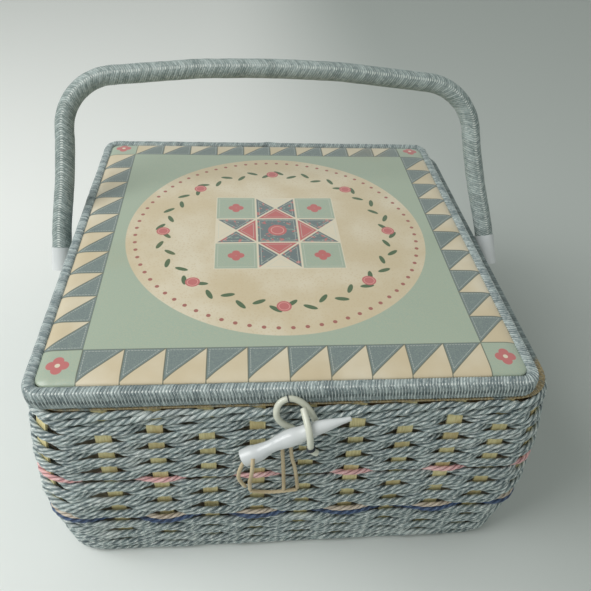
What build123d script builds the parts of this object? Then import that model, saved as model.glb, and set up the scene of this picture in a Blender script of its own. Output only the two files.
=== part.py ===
from build123d import *
import math
import os

# Woven sewing carrier: a square basket of twisted cord on flat splints, with a padded lid tied on
# at the back, a bail handle riveted to the sides, a cord loop and peg at the front, and a lift-out
# tray. Millimetres. Origin at the centre of the base, +Z up, -Y to the front, +X to the right.

os.makedirs("parts", exist_ok=True)

# ---- driving dimensions: basket wall -------------------------------------------------------------
belly_half = 160.0      # half width over the weaving where the wall bulges most
base_in = 4.0           # how far the base is in from there
rim_in = 8.5            # how far the rim is in from there
belly_z = 70.0          # height of the widest row
corner_base = 31.0      # plan corner radius at the base
corner_rim = 25.0       # plan corner radius at the rim
board_t = 4.5           # base board
cord_d = 3.3            # weaving cord, measured across the wall
cord_gap = 0.1          # cord to splint
row_gap = 0.05          # cord to cord, up the wall
splint_w = 9.0
splint_t = 1.4
stake_pitch = 29.0      # splint spacing along a side
stake_shift = 5.9       # the middle splint of a side, to the right of its middle
lower_rows = 6
lower_pitch = 6.8       # height of one row of two cords
navy_pitch = 4.6        # rows of a single cord
beige_pitch = 3.4
pink_pitch = 3.2
middle_rows = 5
middle_pitch = 7.36
upper_rows = 7
upper_pitch = 6.3
rim_strands = 3
rim_pitch = 3.53
rim_w = 15.0            # rim, outside of the weaving to the inside of the hoop
binding_t = 1.2         # tan cane over the rim
foot_gap = 0.6          # foot border to the table

# ---- lining, rails and tray ----------------------------------------------------------------------
lining_t = 2.4          # cloth-covered card
lining_gap = 1.2        # weaving to lining
inner_gap = 0.2         # lining to what stands against it
base_lining_t = 2.0
corner_piece = 52.0     # lining corner piece, in from the widest row
rail_top = 94.0         # ledge that the tray stands on
rail_h = 6.0
rail_end = 32.0         # rail end to the tray's outside
rail_cover = 6.0        # how far a rail reaches under the tray
tray_in = 19.5          # tray, in from the rim
tray_h = 24.0
tray_wall = 2.0
tray_corner = 16.0
tray_gap = 0.3
divider_t = 1.6
divider_h = 19.0
divider_y = -44.0       # the long divider, from the middle of the tray
divider_x = 46.0        # the two short dividers, either side of the middle

# ---- lid -----------------------------------------------------------------------------------------
lid_in = 7.5            # lid edge, in from the rim
lid_x = -5.0            # the slack hinge lets the lid lie a little to the left and front
lid_y = -4.0
lid_gap = 0.4
lid_corner = 12.0
braid_h = 12.8
braid_t = 5.2
lid_fit = 0.2
frame_h = 2.4
frame_w = 14.0
lid_board_t = 3.0
pad_h = 5.4
pad_crown = 2.4
pad_slope = 15.0        # width over which the padding rises to its crown
cover_t = 0.8
lid_lining_t = 4.5
pincushion_x = 92.0
pincushion_y = 62.0
pincushion_h = 13.0
pincushion_r = 14.0

# ---- hinge rings and closure -----------------------------------------------------------------------
ring_r = 7.0            # hinge ring, centre line
ring_cord = 1.5         # radius of its vinyl cord
ring_fit = 0.3
hinge_setback = 2.0     # hinge axis behind the lid's back edge
loop_d = 3.8
string_d = 2.4
tie_r = 0.3
tie_gap = 0.2
tie_share = 0.52        # where the thread goes round the loop, as a share of its length

# ---- handle --------------------------------------------------------------------------------------
pivot_drop = 28.0       # rim to the handle's pivots
handle_tilt = 32.0      # leans back from upright at rest
handle_d = 13.2
core_d = 8.0
core_fit = 0.05
handle_lean = 0.055     # sideways lean of the bail, per mm of height
foot_out = 6.0          # bail at its pivots, out from the widest row
knee_in = 3.5           # each point of a leg, in from the one below
mid_in = 6.0
leg_top_in = 3.9
shoulder_in = 1.6
bow_half = 52.0
knee_s = 38.0           # heights in the bail's own plane
shoulder_s = 144.0
shoulder_run = 38.0     # top of a leg to its shoulder
shoulder_share = 0.89   # shoulder arc, as a share of that run
bow_rise = 9.2
crown_rise = 1.4
gentle_r = 200.0        # the bail's slight bends
ferrule_d = 14.8
ferrule_foot = {-1: 6.0, 1: 9.0}        # left and right, from the pivots
ferrule_top = {-1: 23.0, 1: 32.0}
socket_foot = {-1: 13.0, 1: 20.0}
socket_fit = 0.1
tongue_t = 4.6
tongue_w = 15.0
tongue_room = {-1: 0.5, 1: 3.5}         # tongue's top end to the bail's foot
wall_gap = 0.5          # tongue to the weaving
rivet_d = 6.0
rivet_fit = 0.05
rivet_head_d = 11.0
rivet_head_t = 2.2
washer_d = 14.0
washer_t = 1.2
rivet_tail_d = 9.0
rivet_tail_t = 1.6

# ---- peg -----------------------------------------------------------------------------------------
peg_hole_d = 3.2
peg_hole_at = 8.0

# ---- worked out from the above ---------------------------------------------------------------------
base_half = belly_half - base_in
rim_half = belly_half - rim_in
wave = splint_t / 2 + cord_gap + cord_d / 2
wall_t = splint_t + 2 * cord_gap + 2 * cord_d
stakes_each_way = int((base_half - corner_base - stake_shift) / stake_pitch)
flat = splint_w + 2.0
lower_top = board_t + lower_rows * lower_pitch
navy_top = lower_top + navy_pitch
beige_top = navy_top + beige_pitch
middle_top = beige_top + middle_rows * middle_pitch
pink_top = middle_top + pink_pitch
upper_top = pink_top + upper_rows * upper_pitch
wall_h = upper_top + rim_strands * rim_pitch
rim_top = wall_h + binding_t
rim_inner = rim_half - rim_w
hoop_foot = upper_top + 1.0
side_reach = belly_half - corner_piece
tray_half = rim_half - tray_in
rail_len = 2 * (tray_half - rail_end)
lid_half = rim_half - lid_in
lid_z = rim_top + lid_gap
hinge_y = lid_y + lid_half + hinge_setback
hinge_z = rim_top + lid_gap / 2
ring_x = 2.5 * stake_pitch
lining_back = wall_t + lining_gap
tilt = math.radians(handle_tilt)
pivot_z = wall_h - pivot_drop
leg_foot = belly_half + foot_out
leg_knee = leg_foot - knee_in
leg_mid = leg_knee - mid_in
leg_top = leg_mid - leg_top_in
shoulder_half = leg_top - shoulder_in
leg_top_s = shoulder_s - shoulder_run
mid_s = (knee_s + leg_top_s) / 2
bow_s = shoulder_s + bow_rise
crown_s = bow_s + crown_rise
shoulder_r = shoulder_share * shoulder_run


def at_front(x, out, up):
    """A point at the front, out from the widest row and up from the rim."""
    return Vector(x, -belly_half - out, rim_top + up)


peg_butt = at_front(-31.5, 8.0, -22.2)
peg_tip = at_front(27.3, 0.0, 0.3)


def half_at(z):
    """Half width over the weaving at height z: a bulge that flattens into the base."""
    if z > belly_z:
        return belly_half - (belly_half - rim_half) * ((z - belly_z) / (wall_h - belly_z)) ** 2
    return belly_half - (belly_half - base_half) * ((belly_z - z) / belly_z) ** 2


def corner_at(z):
    """Plan corner radius over the weaving at height z."""
    return corner_base + (corner_rim - corner_base) * z / wall_h


def turned(point, side):
    """A plan point carried round to side 0 (front), 1 (right), 2 (back) or 3 (left)."""
    x, y = point
    for _ in range(side):
        x, y = -y, x
    return x, y


def stake_spot(side, number, z, shift=0.0):
    """Plan place and outward direction of a splint; the last number on a side is its corner."""
    middle = half_at(z) - wall_t / 2
    corner = corner_at(z) - wall_t / 2
    if number <= stakes_each_way:
        along = stake_shift + stake_pitch * number
        return turned((along, -(middle + shift)), side), turned((0, -1), side)
    reach = middle - corner + (corner + shift) * math.sqrt(0.5)
    return turned((reach, -reach), side), turned((math.sqrt(0.5), -math.sqrt(0.5)), side)


def slope_room(side, number, z, cord_h):
    """How far a splint leans in or out over half the height of a cord."""
    (low_x, low_y), _ = stake_spot(side, number, z - cord_h / 2)
    (high_x, high_y), _ = stake_spot(side, number, z + cord_h / 2)
    return math.hypot(high_x - low_x, high_y - low_y) / 2


def cord_line(z, cord_h, front_on_odd):
    """Plan points of one woven cord and the outward direction at each: flat past every splint,
    outside the odd ones and inside the even ones, or the other way round."""
    middle = half_at(z) - wall_t / 2
    corner = corner_at(z) - wall_t / 2
    line = []
    for side in range(4):
        for number in range(-stakes_each_way, stakes_each_way + 2):
            outside = (number % 2 == 1) == front_on_odd
            shift = wave + slope_room(side, number, z, cord_h)
            if not outside:
                shift = -shift
            (x, y), (nx, ny) = stake_spot(side, number, z, shift)
            turn_in = []
            turn_out = []
            if number > stakes_each_way:
                for angle, spots in ((22.5, turn_in), (67.5, turn_out)):
                    a = math.radians(angle)
                    way = (math.sin(a), -math.cos(a))
                    spot = (middle - corner + corner * way[0], -(middle - corner) + corner * way[1])
                    spots.append((turned(spot, side), turned(way, side)))
            line += turn_in
            for end in (-flat / 2, flat / 2):
                line.append(((x - ny * end, y + nx * end), (nx, ny)))
            line += turn_out
    return line


def cord_outline(z, cord_h, front_on_odd):
    """Sketch of one woven cord seen from above, cord_d wide."""
    line = cord_line(z, cord_h, front_on_odd)
    for grow, mode in ((cord_d / 2, Mode.ADD), (-cord_d / 2, Mode.SUBTRACT)):
        with BuildLine() as edge:
            Polyline(*[(x + nx * grow, y + ny * grow) for (x, y), (nx, ny) in line], close=True)
        make_face(edge.edges(), mode=mode)


def pivot_bores():
    """Cuts the two rivet holes through whatever part is being built."""
    for side in (-1, 1):
        with BuildSketch(Plane(origin=(side * belly_half, 0, pivot_z), z_dir=(-side, 0, 0))) as bore:
            Circle(rivet_d / 2 + rivet_fit)
        extrude(bore.sketch, amount=belly_half - rim_inner, mode=Mode.SUBTRACT)


def hinge_tunnels(fit):
    """Cuts the two hinge rings, grown by fit, out of whatever part is being built."""
    for x in (-ring_x, ring_x):
        ring_plane = Plane(origin=(x, hinge_y, hinge_z), x_dir=(0, 1, 0), z_dir=(0, 0, 1))
        with BuildSketch(ring_plane) as tunnel:
            with Locations((ring_r, 0)):
                Circle(ring_cord + fit)
        revolve(tunnel.sketch, axis=Axis((x, hinge_y, hinge_z), (1, 0, 0)), mode=Mode.SUBTRACT)


def ring_sketch(outer, outer_r, inner, inner_r):
    """Square ring with rounded corners."""
    RectangleRounded(2 * outer, 2 * outer, outer_r)
    RectangleRounded(2 * inner, 2 * inner, inner_r, mode=Mode.SUBTRACT)


# ---- basket: base ----------------------------------------------------------------------------------
board_half = base_half - wall_t / 2 + splint_t / 2
with BuildPart() as base_board:
    with BuildSketch(Plane.XY):
        RectangleRounded(2 * board_half, 2 * board_half, corner_base - wall_t / 2)
    extrude(amount=board_t)
base_board.part.label = "base_board"
export_step(base_board.part, "parts/base_board.step")

with BuildPart() as foot_border:
    with BuildSketch(Plane.XY.offset(foot_gap)):
        ring_sketch(base_half, corner_base, board_half + cord_gap, corner_base - wall_t / 2)
    extrude(amount=board_t - foot_gap - row_gap)
    fillet(foot_border.edges().group_by(Axis.Z)[0].sort_by(SortBy.LENGTH)[-4:], 1.6)
foot_border.part.label = "foot_border"
export_step(foot_border.part, "parts/foot_border.step")

# ---- basket: splints -------------------------------------------------------------------------------
bend_levels = [board_t + (wall_h - board_t) * step / 14 for step in range(15)]
with BuildPart() as stakes:
    for side in range(4):
        for number in range(-stakes_each_way, stakes_each_way + 2):
            spot, way = stake_spot(side, number, bend_levels[0])
            plane = Plane(origin=(spot[0], spot[1], 0), x_dir=(way[0], way[1], 0),
                          z_dir=(way[1], -way[0], 0))
            reach = []
            for z in bend_levels:
                (x, y), _ = stake_spot(side, number, z)
                reach.append(((x - spot[0]) * way[0] + (y - spot[1]) * way[1], z))
            outer = [(r + splint_t / 2, z) for r, z in reach]
            inner = [(r - splint_t / 2, z) for r, z in reversed(reach)]
            with BuildSketch(plane):
                with BuildLine():
                    Polyline(*outer, *inner, close=True)
                make_face()
    extrude(amount=splint_w / 2, both=True)
    pivot_bores()
stakes.part.label = "stakes"
export_step(stakes.part, "parts/stakes.step")

# ---- basket: woven cords ---------------------------------------------------------------------------
bands = [
    # name, foot, rows, row height, cords in a row, top row in front of the odd splints
    ("weave_lower", board_t, lower_rows, lower_pitch, 2, False),
    ("row_navy", lower_top, 1, navy_pitch, 1, True),
    ("row_beige", navy_top, 1, beige_pitch, 1, True),
    ("weave_middle", beige_top, middle_rows, middle_pitch, 2, False),
    ("row_pink", middle_top, 1, pink_pitch, 1, True),
    ("weave_upper", pink_top, upper_rows, upper_pitch, 2, False),
]
for band_name, foot, rows, pitch, cords, top_on_odd in bands:
    cord_h = pitch / cords
    with BuildPart() as band:
        for row in range(rows):
            on_odd = top_on_odd if (rows - 1 - row) % 2 == 0 else not top_on_odd
            for cord in range(cords):
                cord_foot = foot + row * pitch + cord * cord_h
                with BuildSketch(Plane.XY.offset(cord_foot)):
                    cord_outline(cord_foot + cord_h / 2, cord_h, on_odd)
        extrude(amount=cord_h - row_gap)
        if foot < pivot_z + rivet_d and foot + rows * pitch > pivot_z - rivet_d:
            pivot_bores()
    band.part.label = band_name
    export_step(band.part, "parts/" + band_name + ".step")

strand_corner = corner_rim - splint_t
with BuildPart() as rim_cords:
    for strand in range(rim_strands):
        strand_foot = upper_top + strand * rim_pitch
        strand_half = half_at(strand_foot)
        with BuildSketch(Plane.XY.offset(strand_foot)):
            ring_sketch(strand_half, strand_corner, strand_half - cord_d, strand_corner - cord_d)
    extrude(amount=rim_pitch - row_gap)
    hinge_tunnels(cord_gap)
rim_cords.part.label = "rim_cords"
export_step(rim_cords.part, "parts/rim_cords.step")

# ---- basket: rim -----------------------------------------------------------------------------------
hoop_outer = rim_half - cord_d - splint_t - 3 * cord_gap
with BuildPart() as rim_hoop:
    with BuildSketch(Plane.XY.offset(hoop_foot)):
        ring_sketch(hoop_outer, corner_rim - cord_d - splint_t, rim_inner, corner_rim - rim_w)
    extrude(amount=wall_h - hoop_foot)
    hinge_tunnels(cord_gap)
rim_hoop.part.label = "rim_hoop"
export_step(rim_hoop.part, "parts/rim_hoop.step")

with BuildPart() as rim_binding:
    with BuildSketch(Plane.XY.offset(wall_h)):
        ring_sketch(rim_half - 0.5, corner_rim - 0.5, rim_inner, corner_rim - rim_w)
    extrude(amount=binding_t)
    hinge_tunnels(cord_gap)
rim_binding.part.label = "rim_binding"
export_step(rim_binding.part, "parts/rim_binding.step")

# ---- basket: lining --------------------------------------------------------------------------------
lining_foot = board_t + row_gap
lining_top = hoop_foot - 0.2
lining_levels = [lining_foot + (lining_top - lining_foot) * step / 7 for step in range(8)]


def lining_section(z, depth):
    """Half width and corner radius of the lining at height z, depth in from the weaving."""
    return half_at(z) - depth, max(corner_at(z) - depth, 4.0)


with BuildPart() as lining_shell:
    for depth, mode in ((lining_back, Mode.ADD), (lining_back + lining_t, Mode.SUBTRACT)):
        for z in lining_levels:
            half, radius = lining_section(z, depth)
            with BuildSketch(Plane.XY.offset(z)):
                RectangleRounded(2 * half, 2 * half, radius)
        loft(ruled=True, mode=mode)
    pivot_bores()

lining_cut = belly_half + 10
for side, lining_name in enumerate(("lining_front", "lining_right", "lining_back", "lining_left")):
    x, y = turned((0, -(side_reach + lining_cut) / 2), side)
    size_x, size_y = (2 * side_reach, lining_cut - side_reach)
    if side % 2:
        size_x, size_y = size_y, size_x
    with BuildPart() as lining_panel:
        add(lining_shell.part)
        with Locations((x, y, wall_h / 2)):
            Box(size_x, size_y, 2 * wall_h, mode=Mode.INTERSECT)
    lining_panel.part.label = lining_name
    export_step(lining_panel.part, "parts/" + lining_name + ".step")

with BuildPart() as lining_corners:
    add(lining_shell.part)
    Box(2 * side_reach + 0.1, 4 * lining_cut, 4 * wall_h, mode=Mode.SUBTRACT)
    Box(4 * lining_cut, 2 * side_reach + 0.1, 4 * wall_h, mode=Mode.SUBTRACT)
lining_corners.part.label = "lining_corners"
export_step(lining_corners.part, "parts/lining_corners.step")

floor_half = half_at(lining_foot) - lining_back - lining_t - inner_gap
with BuildPart() as lining_floor:
    with BuildSketch(Plane.XY.offset(lining_foot)):
        RectangleRounded(2 * floor_half, 2 * floor_half, corner_base - lining_back - lining_t)
    extrude(amount=base_lining_t)
lining_floor.part.label = "lining_floor"
export_step(lining_floor.part, "parts/lining_floor.step")

# ---- basket: tray rails ----------------------------------------------------------------------------
rail_outer = min(lining_section(z, lining_back + lining_t)[0] for z in (rail_top - rail_h, rail_top))
rail_outer = rail_outer - inner_gap
rail_inner = tray_half - rail_cover
for side, rail_name in ((-1, "tray_rail_left"), (1, "tray_rail_right")):
    with BuildPart() as rail:
        with BuildSketch(Plane.XY.offset(rail_top - rail_h)):
            with Locations((side * (rail_inner + rail_outer) / 2, 0)):
                Rectangle(rail_outer - rail_inner, rail_len)
        extrude(amount=rail_h)
        chamfer(rail.edges().filter_by(Axis.Z), 3.0)
    rail.part.label = rail_name
    export_step(rail.part, "parts/" + rail_name + ".step")

# ---- tray ------------------------------------------------------------------------------------------
tray_foot = rail_top + tray_gap
tray_inner = tray_half - tray_wall
with BuildPart() as tray_shell:
    with BuildSketch(Plane.XY.offset(tray_foot)):
        RectangleRounded(2 * tray_half, 2 * tray_half, tray_corner)
    extrude(amount=tray_h)
    with BuildSketch(Plane.XY.offset(tray_foot + tray_wall)):
        RectangleRounded(2 * tray_inner, 2 * tray_inner, tray_corner - tray_wall)
    extrude(amount=tray_h, mode=Mode.SUBTRACT)
    fillet(tray_shell.edges().group_by(Axis.Z)[-1], tray_wall / 4)
tray_shell.part.label = "tray_shell"
export_step(tray_shell.part, "parts/tray_shell.step")

divider_reach = tray_inner - 0.2
with BuildPart() as tray_dividers:
    with BuildSketch(Plane.XY.offset(tray_foot + tray_wall)):
        with Locations((0, divider_y)):
            Rectangle(2 * divider_reach, divider_t)
        with Locations((-divider_x, (divider_y + divider_reach) / 2),
                       (divider_x, (divider_y + divider_reach) / 2)):
            Rectangle(divider_t, divider_reach - divider_y)
    extrude(amount=divider_h)
tray_dividers.part.label = "tray_dividers"
export_step(tray_dividers.part, "parts/tray_dividers.step")

# ---- lid -------------------------------------------------------------------------------------------
lid_inner = lid_half - braid_t
panel_half = lid_inner - lid_fit
panel_r = lid_corner - braid_t
board_z = lid_z + frame_h + lid_fit
pad_z = board_z + lid_board_t
lid_origin = (lid_x, lid_y)

with BuildPart() as lid_braid:
    with BuildSketch(Plane.XY.offset(lid_z)):
        with Locations(lid_origin):
            ring_sketch(lid_half, lid_corner, lid_inner, panel_r)
    extrude(amount=braid_h)
    fillet(lid_braid.edges().group_by(Axis.Z)[0] + lid_braid.edges().group_by(Axis.Z)[-1],
           braid_t * 0.36)
    hinge_tunnels(ring_fit)
lid_braid.part.label = "lid_braid"
export_step(lid_braid.part, "parts/lid_braid.step")

with BuildPart() as lid_frame:
    with BuildSketch(Plane.XY.offset(lid_z + lid_fit)):
        with Locations(lid_origin):
            ring_sketch(panel_half, panel_r, panel_half - frame_w, panel_r)
    extrude(amount=frame_h)
    hinge_tunnels(ring_fit)
lid_frame.part.label = "lid_frame"
export_step(lid_frame.part, "parts/lid_frame.step")

with BuildPart() as lid_board:
    with BuildSketch(Plane.XY.offset(board_z)):
        with Locations(lid_origin):
            RectangleRounded(2 * panel_half, 2 * panel_half, panel_r)
    extrude(amount=lid_board_t)
    hinge_tunnels(ring_fit)
lid_board.part.label = "lid_board"
export_step(lid_board.part, "parts/lid_board.step")


def crowned(inset, mode=Mode.ADD):
    """Loft of the padded top: upright sides, then a slope to a flat crown, all moved in by inset."""
    edge = panel_half - inset
    sections = []
    steps = [
        (pad_z, edge), (pad_z + pad_h - inset, edge),
        (pad_z + pad_h + 0.6 * pad_crown - inset, edge - pad_slope * 0.4),
        (pad_z + pad_h + pad_crown - inset, edge - pad_slope),
    ]
    for z, half in steps:
        with BuildSketch(Plane.XY.offset(z)) as section:
            with Locations(lid_origin):
                RectangleRounded(2 * half, 2 * half, panel_r)
        sections.append(section.sketch)
    loft(sections=sections, ruled=True, mode=mode)


with BuildPart() as lid_padding:
    crowned(cover_t)
lid_padding.part.label = "lid_padding"
export_step(lid_padding.part, "parts/lid_padding.step")

with BuildPart() as lid_cover:
    crowned(0)
    crowned(cover_t, Mode.SUBTRACT)
lid_cover.part.label = "lid_cover"
export_step(lid_cover.part, "parts/lid_cover.step")

with BuildPart() as lid_lining:
    lining_half = panel_half - frame_w - lid_fit
    with BuildSketch(Plane.XY.offset(board_z - lid_lining_t)):
        with Locations(lid_origin):
            RectangleRounded(2 * lining_half, 2 * lining_half, panel_r)
    extrude(amount=lid_lining_t)
    fillet(lid_lining.edges().group_by(Axis.Z)[0], 1.5)
lid_lining.part.label = "lid_lining"
export_step(lid_lining.part, "parts/lid_lining.step")

with BuildPart() as pincushion:
    with BuildSketch(Plane.XY.offset(board_z - lid_lining_t - pincushion_h)):
        with Locations(lid_origin):
            RectangleRounded(pincushion_x, pincushion_y, pincushion_r)
    extrude(amount=pincushion_h)
    fillet(pincushion.edges().group_by(Axis.Z)[0], pincushion_h * 0.4)
pincushion.part.label = "pincushion"
export_step(pincushion.part, "parts/pincushion.step")

# ---- hinge rings -----------------------------------------------------------------------------------
for side, ring_name in ((-1, "hinge_ring_left"), (1, "hinge_ring_right")):
    ring_at = (side * ring_x, hinge_y, hinge_z)
    with BuildPart() as hinge_ring:
        with BuildSketch(Plane(origin=ring_at, x_dir=(0, 1, 0), z_dir=(0, 0, 1))):
            with Locations((ring_r, 0)):
                Circle(ring_cord)
        revolve(axis=Axis(ring_at, (1, 0, 0)))
    hinge_ring.part.label = ring_name
    export_step(hinge_ring.part, "parts/" + ring_name + ".step")

# ---- handle ----------------------------------------------------------------------------------------
handle_plane = Plane(origin=(0, 0, pivot_z), x_dir=(1, 0, 0),
                     z_dir=(0, -math.cos(tilt), math.sin(tilt)))
leg = [(leg_foot, 0), (leg_knee, knee_s), (leg_mid, mid_s), (leg_top, leg_top_s),
       (shoulder_half, shoulder_s), (bow_half, bow_s)]
bail_radii = [gentle_r, gentle_r, gentle_r, shoulder_r, gentle_r]


def leg_half(s):
    """Half width of the bail at height s, below its knees."""
    return leg_foot + (leg_knee - leg_foot) * s / knee_s


def bail_points():
    """Bail centre line in its own plane, from the right socket over the crown to the left one."""
    line = [(leg_half(socket_foot[1]), socket_foot[1])] + leg[1:] + [(0, crown_s)]
    line += [(-half, s) for half, s in reversed(leg[1:])]
    line += [(-leg_half(socket_foot[-1]), socket_foot[-1])]
    return [(half - handle_lean * s, s) for half, s in line]


def bail_line():
    """Bail centre line as straight runs joined by tangent arcs."""
    FilletPolyline(*bail_points(), radius=bail_radii + [gentle_r * 4] + bail_radii[::-1])


with BuildPart() as handle_wrap:
    with BuildLine(handle_plane) as wrap_path:
        bail_line()
    with BuildSketch(wrap_path.line ^ 0):
        Circle(handle_d / 2)
        Circle(core_d / 2 + core_fit, mode=Mode.SUBTRACT)
    sweep(path=wrap_path.line)
handle_wrap.part.label = "handle_wrap"
export_step(handle_wrap.part, "parts/handle_wrap.step")

with BuildPart() as handle_core:
    with BuildLine(handle_plane) as core_path:
        bail_line()
    with BuildSketch(core_path.line ^ 0):
        Circle(core_d / 2)
    sweep(path=core_path.line)
handle_core.part.label = "handle_core"
export_step(handle_core.part, "parts/handle_core.step")

tongue_inner = half_at(pivot_z - tongue_w / 2) + wall_gap + slope_room(0, 0, pivot_z, upper_pitch / 2)
for side, ferrule_name in ((-1, "ferrule_left"), (1, "ferrule_right")):
    foot_x = side * leg_foot
    knee_x = side * leg_knee - handle_lean * knee_s
    leg_way = handle_plane.from_local_coords(Vector(knee_x - foot_x, knee_s, 0)) - handle_plane.origin
    leg_start = handle_plane.from_local_coords(Vector(foot_x, 0, 0))
    leg_unit = leg_way.normalized()
    with BuildPart() as ferrule:
        with BuildSketch(Plane(origin=leg_start + leg_unit * ferrule_foot[side], z_dir=leg_unit)):
            Circle(ferrule_d / 2)
        extrude(amount=ferrule_top[side] - ferrule_foot[side])
        with BuildSketch(Plane(origin=leg_start + leg_unit * socket_foot[side], z_dir=leg_unit)):
            Circle(handle_d / 2 + socket_fit)
        extrude(amount=ferrule_top[side], mode=Mode.SUBTRACT)
        with BuildSketch(Plane(origin=(side * tongue_inner, 0, pivot_z), x_dir=handle_plane.y_dir,
                               z_dir=(side, 0, 0))):
            tongue_end = socket_foot[side] - tongue_w / 2 - tongue_room[side]
            with Locations((tongue_end / 2, 0)):
                SlotCenterToCenter(tongue_end, tongue_w)
        extrude(amount=tongue_t)
        with BuildSketch(Plane(origin=(side * belly_half * 0.9, 0, pivot_z), z_dir=(side, 0, 0))):
            Circle(rivet_d / 2 + rivet_fit)
        extrude(amount=belly_half * 0.2, mode=Mode.SUBTRACT)
    ferrule.part.label = ferrule_name
    export_step(ferrule.part, "parts/" + ferrule_name + ".step")

# ---- rivets and washers ----------------------------------------------------------------------------
head_x = tongue_inner + tongue_t + wall_gap / 2
washer_x = half_at(pivot_z + washer_d / 2) - lining_back - lining_t - inner_gap
for side, rivet_name in ((-1, "handle_rivet_left"), (1, "handle_rivet_right")):
    with BuildPart() as rivet:
        with BuildSketch(Plane(origin=(0, 0, pivot_z), x_dir=(side, 0, 0), z_dir=(0, -side, 0))):
            with BuildLine():
                Polyline((washer_x - washer_t - rivet_tail_t, 0), (head_x + rivet_head_t, 0),
                         (head_x + rivet_head_t, rivet_head_d * 0.3), (head_x, rivet_head_d / 2),
                         (head_x, rivet_d / 2), (washer_x - washer_t, rivet_d / 2),
                         (washer_x - washer_t, rivet_tail_d / 2),
                         (washer_x - washer_t - rivet_tail_t, rivet_tail_d / 2), close=True)
            make_face()
        revolve(axis=Axis((0, 0, pivot_z), (side, 0, 0)))
    rivet.part.label = rivet_name
    export_step(rivet.part, "parts/" + rivet_name + ".step")

with BuildPart() as rivet_washers:
    for side in (-1, 1):
        with BuildSketch(Plane(origin=(side * (washer_x - washer_t), 0, pivot_z), z_dir=(side, 0, 0))):
            Circle(washer_d / 2)
            Circle(rivet_d / 2 + rivet_fit, mode=Mode.SUBTRACT)
    extrude(amount=washer_t)
rivet_washers.part.label = "rivet_washers"
export_step(rivet_washers.part, "parts/rivet_washers.step")

# ---- closure: peg ----------------------------------------------------------------------------------
peg_len = (peg_tip - peg_butt).length
peg_way = (peg_tip - peg_butt).normalized()
peg_side = peg_way.cross(Vector(0, 0, 1)).normalized()
peg_up = peg_side.cross(peg_way)
peg_profile = [(4.9, 0.035), (4.9, 0.14), (3.8, 0.25), (4.2, 0.42), (4.0, 0.58), (2.8, 0.78),
               (1.6, 0.94)]
with BuildPart() as toggle_peg:
    with BuildSketch(Plane(origin=peg_butt, x_dir=peg_up, z_dir=peg_up.cross(peg_way))):
        with BuildLine():
            Polyline((0, peg_len), (0, 0), (3.9, 0), (peg_profile[0][0], peg_len * peg_profile[0][1]))
            Spline(*[(r, peg_len * share) for r, share in peg_profile])
            Polyline((peg_profile[-1][0], peg_len * peg_profile[-1][1]), (1.0, peg_len), (0, peg_len))
        make_face()
    revolve(axis=Axis(peg_butt, peg_way))
    with BuildSketch(Plane(origin=peg_butt + peg_way * peg_hole_at - peg_side * 10, z_dir=peg_side)):
        Circle(peg_hole_d / 2)
    extrude(amount=20, mode=Mode.SUBTRACT)
toggle_peg.part.label = "toggle_peg"
export_step(toggle_peg.part, "parts/toggle_peg.step")


# ---- closure: cords --------------------------------------------------------------------------------
def corner_radii(points):
    """Each corner's arc, as large as its two runs allow."""
    radii = []
    for before, here, after in zip(points, points[1:], points[2:]):
        run_in = here - before
        run_out = after - here
        half_turn = math.radians(run_in.get_angle(run_out)) / 2
        radii.append(0.45 * min(run_in.length, run_out.length) / math.tan(half_turn))
    return radii


def cord_path(points):
    """Straight runs joined by tangent arcs, through points given as at_front takes them."""
    route = [at_front(*point) for point in points]
    FilletPolyline(*route, radius=corner_radii(route))


loop_points = [(-3.0, -3.4, -12.8), (-9.0, -3.4, -9.4), (-13.6, -4.6, -2.6),
               (-12.2, -8.0, 4.2), (-5.6, -9.5, 7.4), (2.0, -8.2, 4.0),
               (7.4, -4.8, -2.2), (9.6, -3.4, -8.8)]
strand_points = [(1.6, -4.2, 3.3), (3.2, 4.6, 1.6), (4.6, 9.8, -4.2),
                 (5.0, 10.4, -10.6), (6.2, 10.4, -15.4), (9.0, 10.2, -17.4)]
stitch_points = [(-27.6, 1.4, -68.0), (-20.0, 1.6, -69.8), (-9.0, 1.6, -70.2),
                 (1.6, 1.4, -68.4)]
string_points = {
    "string_front": [(-26.6, 13.8, -22.2), (-27.4, 12.0, -35.2), (-28.0, 6.6, -50.2),
                     (-27.6, 1.4, -66.4)],
    "string_left": [(-31.8, 8.6, -27.3), (-34.8, 8.0, -38.2), (-33.8, 5.0, -51.2),
                    (-30.6, 1.2, -63.0)],
    "string_inner": [(-9.4, -0.4, -20.8), (-8.6, 1.2, -35.2), (-7.6, 1.5, -49.2),
                     (-6.8, 1.4, -68.4)],
    "string_right": [(-4.6, -0.6, -20.2), (-4.0, 1.0, -33.2), (-0.6, 1.5, -45.2),
                     (1.6, 1.4, -66.8)],
}

with BuildPart() as closure_loop:
    with BuildLine() as loop_run:
        cord_path(loop_points)
    with BuildSketch(loop_run.line ^ 0):
        Circle(loop_d / 2)
    sweep(path=loop_run.line)
closure_loop.part.label = "closure_loop"
export_step(closure_loop.part, "parts/closure_loop.step")

with BuildPart() as closure_strand:
    with BuildLine() as strand_run:
        cord_path(strand_points)
    with BuildSketch(strand_run.line ^ 0):
        Circle(loop_d / 2)
    sweep(path=strand_run.line)
closure_strand.part.label = "closure_strand"
export_step(closure_strand.part, "parts/closure_strand.step")

tie_at = loop_run.line @ tie_share
tie_way = loop_run.line % tie_share
with BuildPart() as loop_tie:
    with BuildSketch(Plane(origin=tie_at, x_dir=(0, 0, 1), z_dir=tie_way.cross(Vector(0, 0, 1)))):
        with Locations((loop_d / 2 + tie_r + tie_gap, 0)):
            Circle(tie_r)
    revolve(axis=Axis(tie_at, tie_way))
loop_tie.part.label = "loop_tie"
export_step(loop_tie.part, "parts/loop_tie.step")

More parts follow.
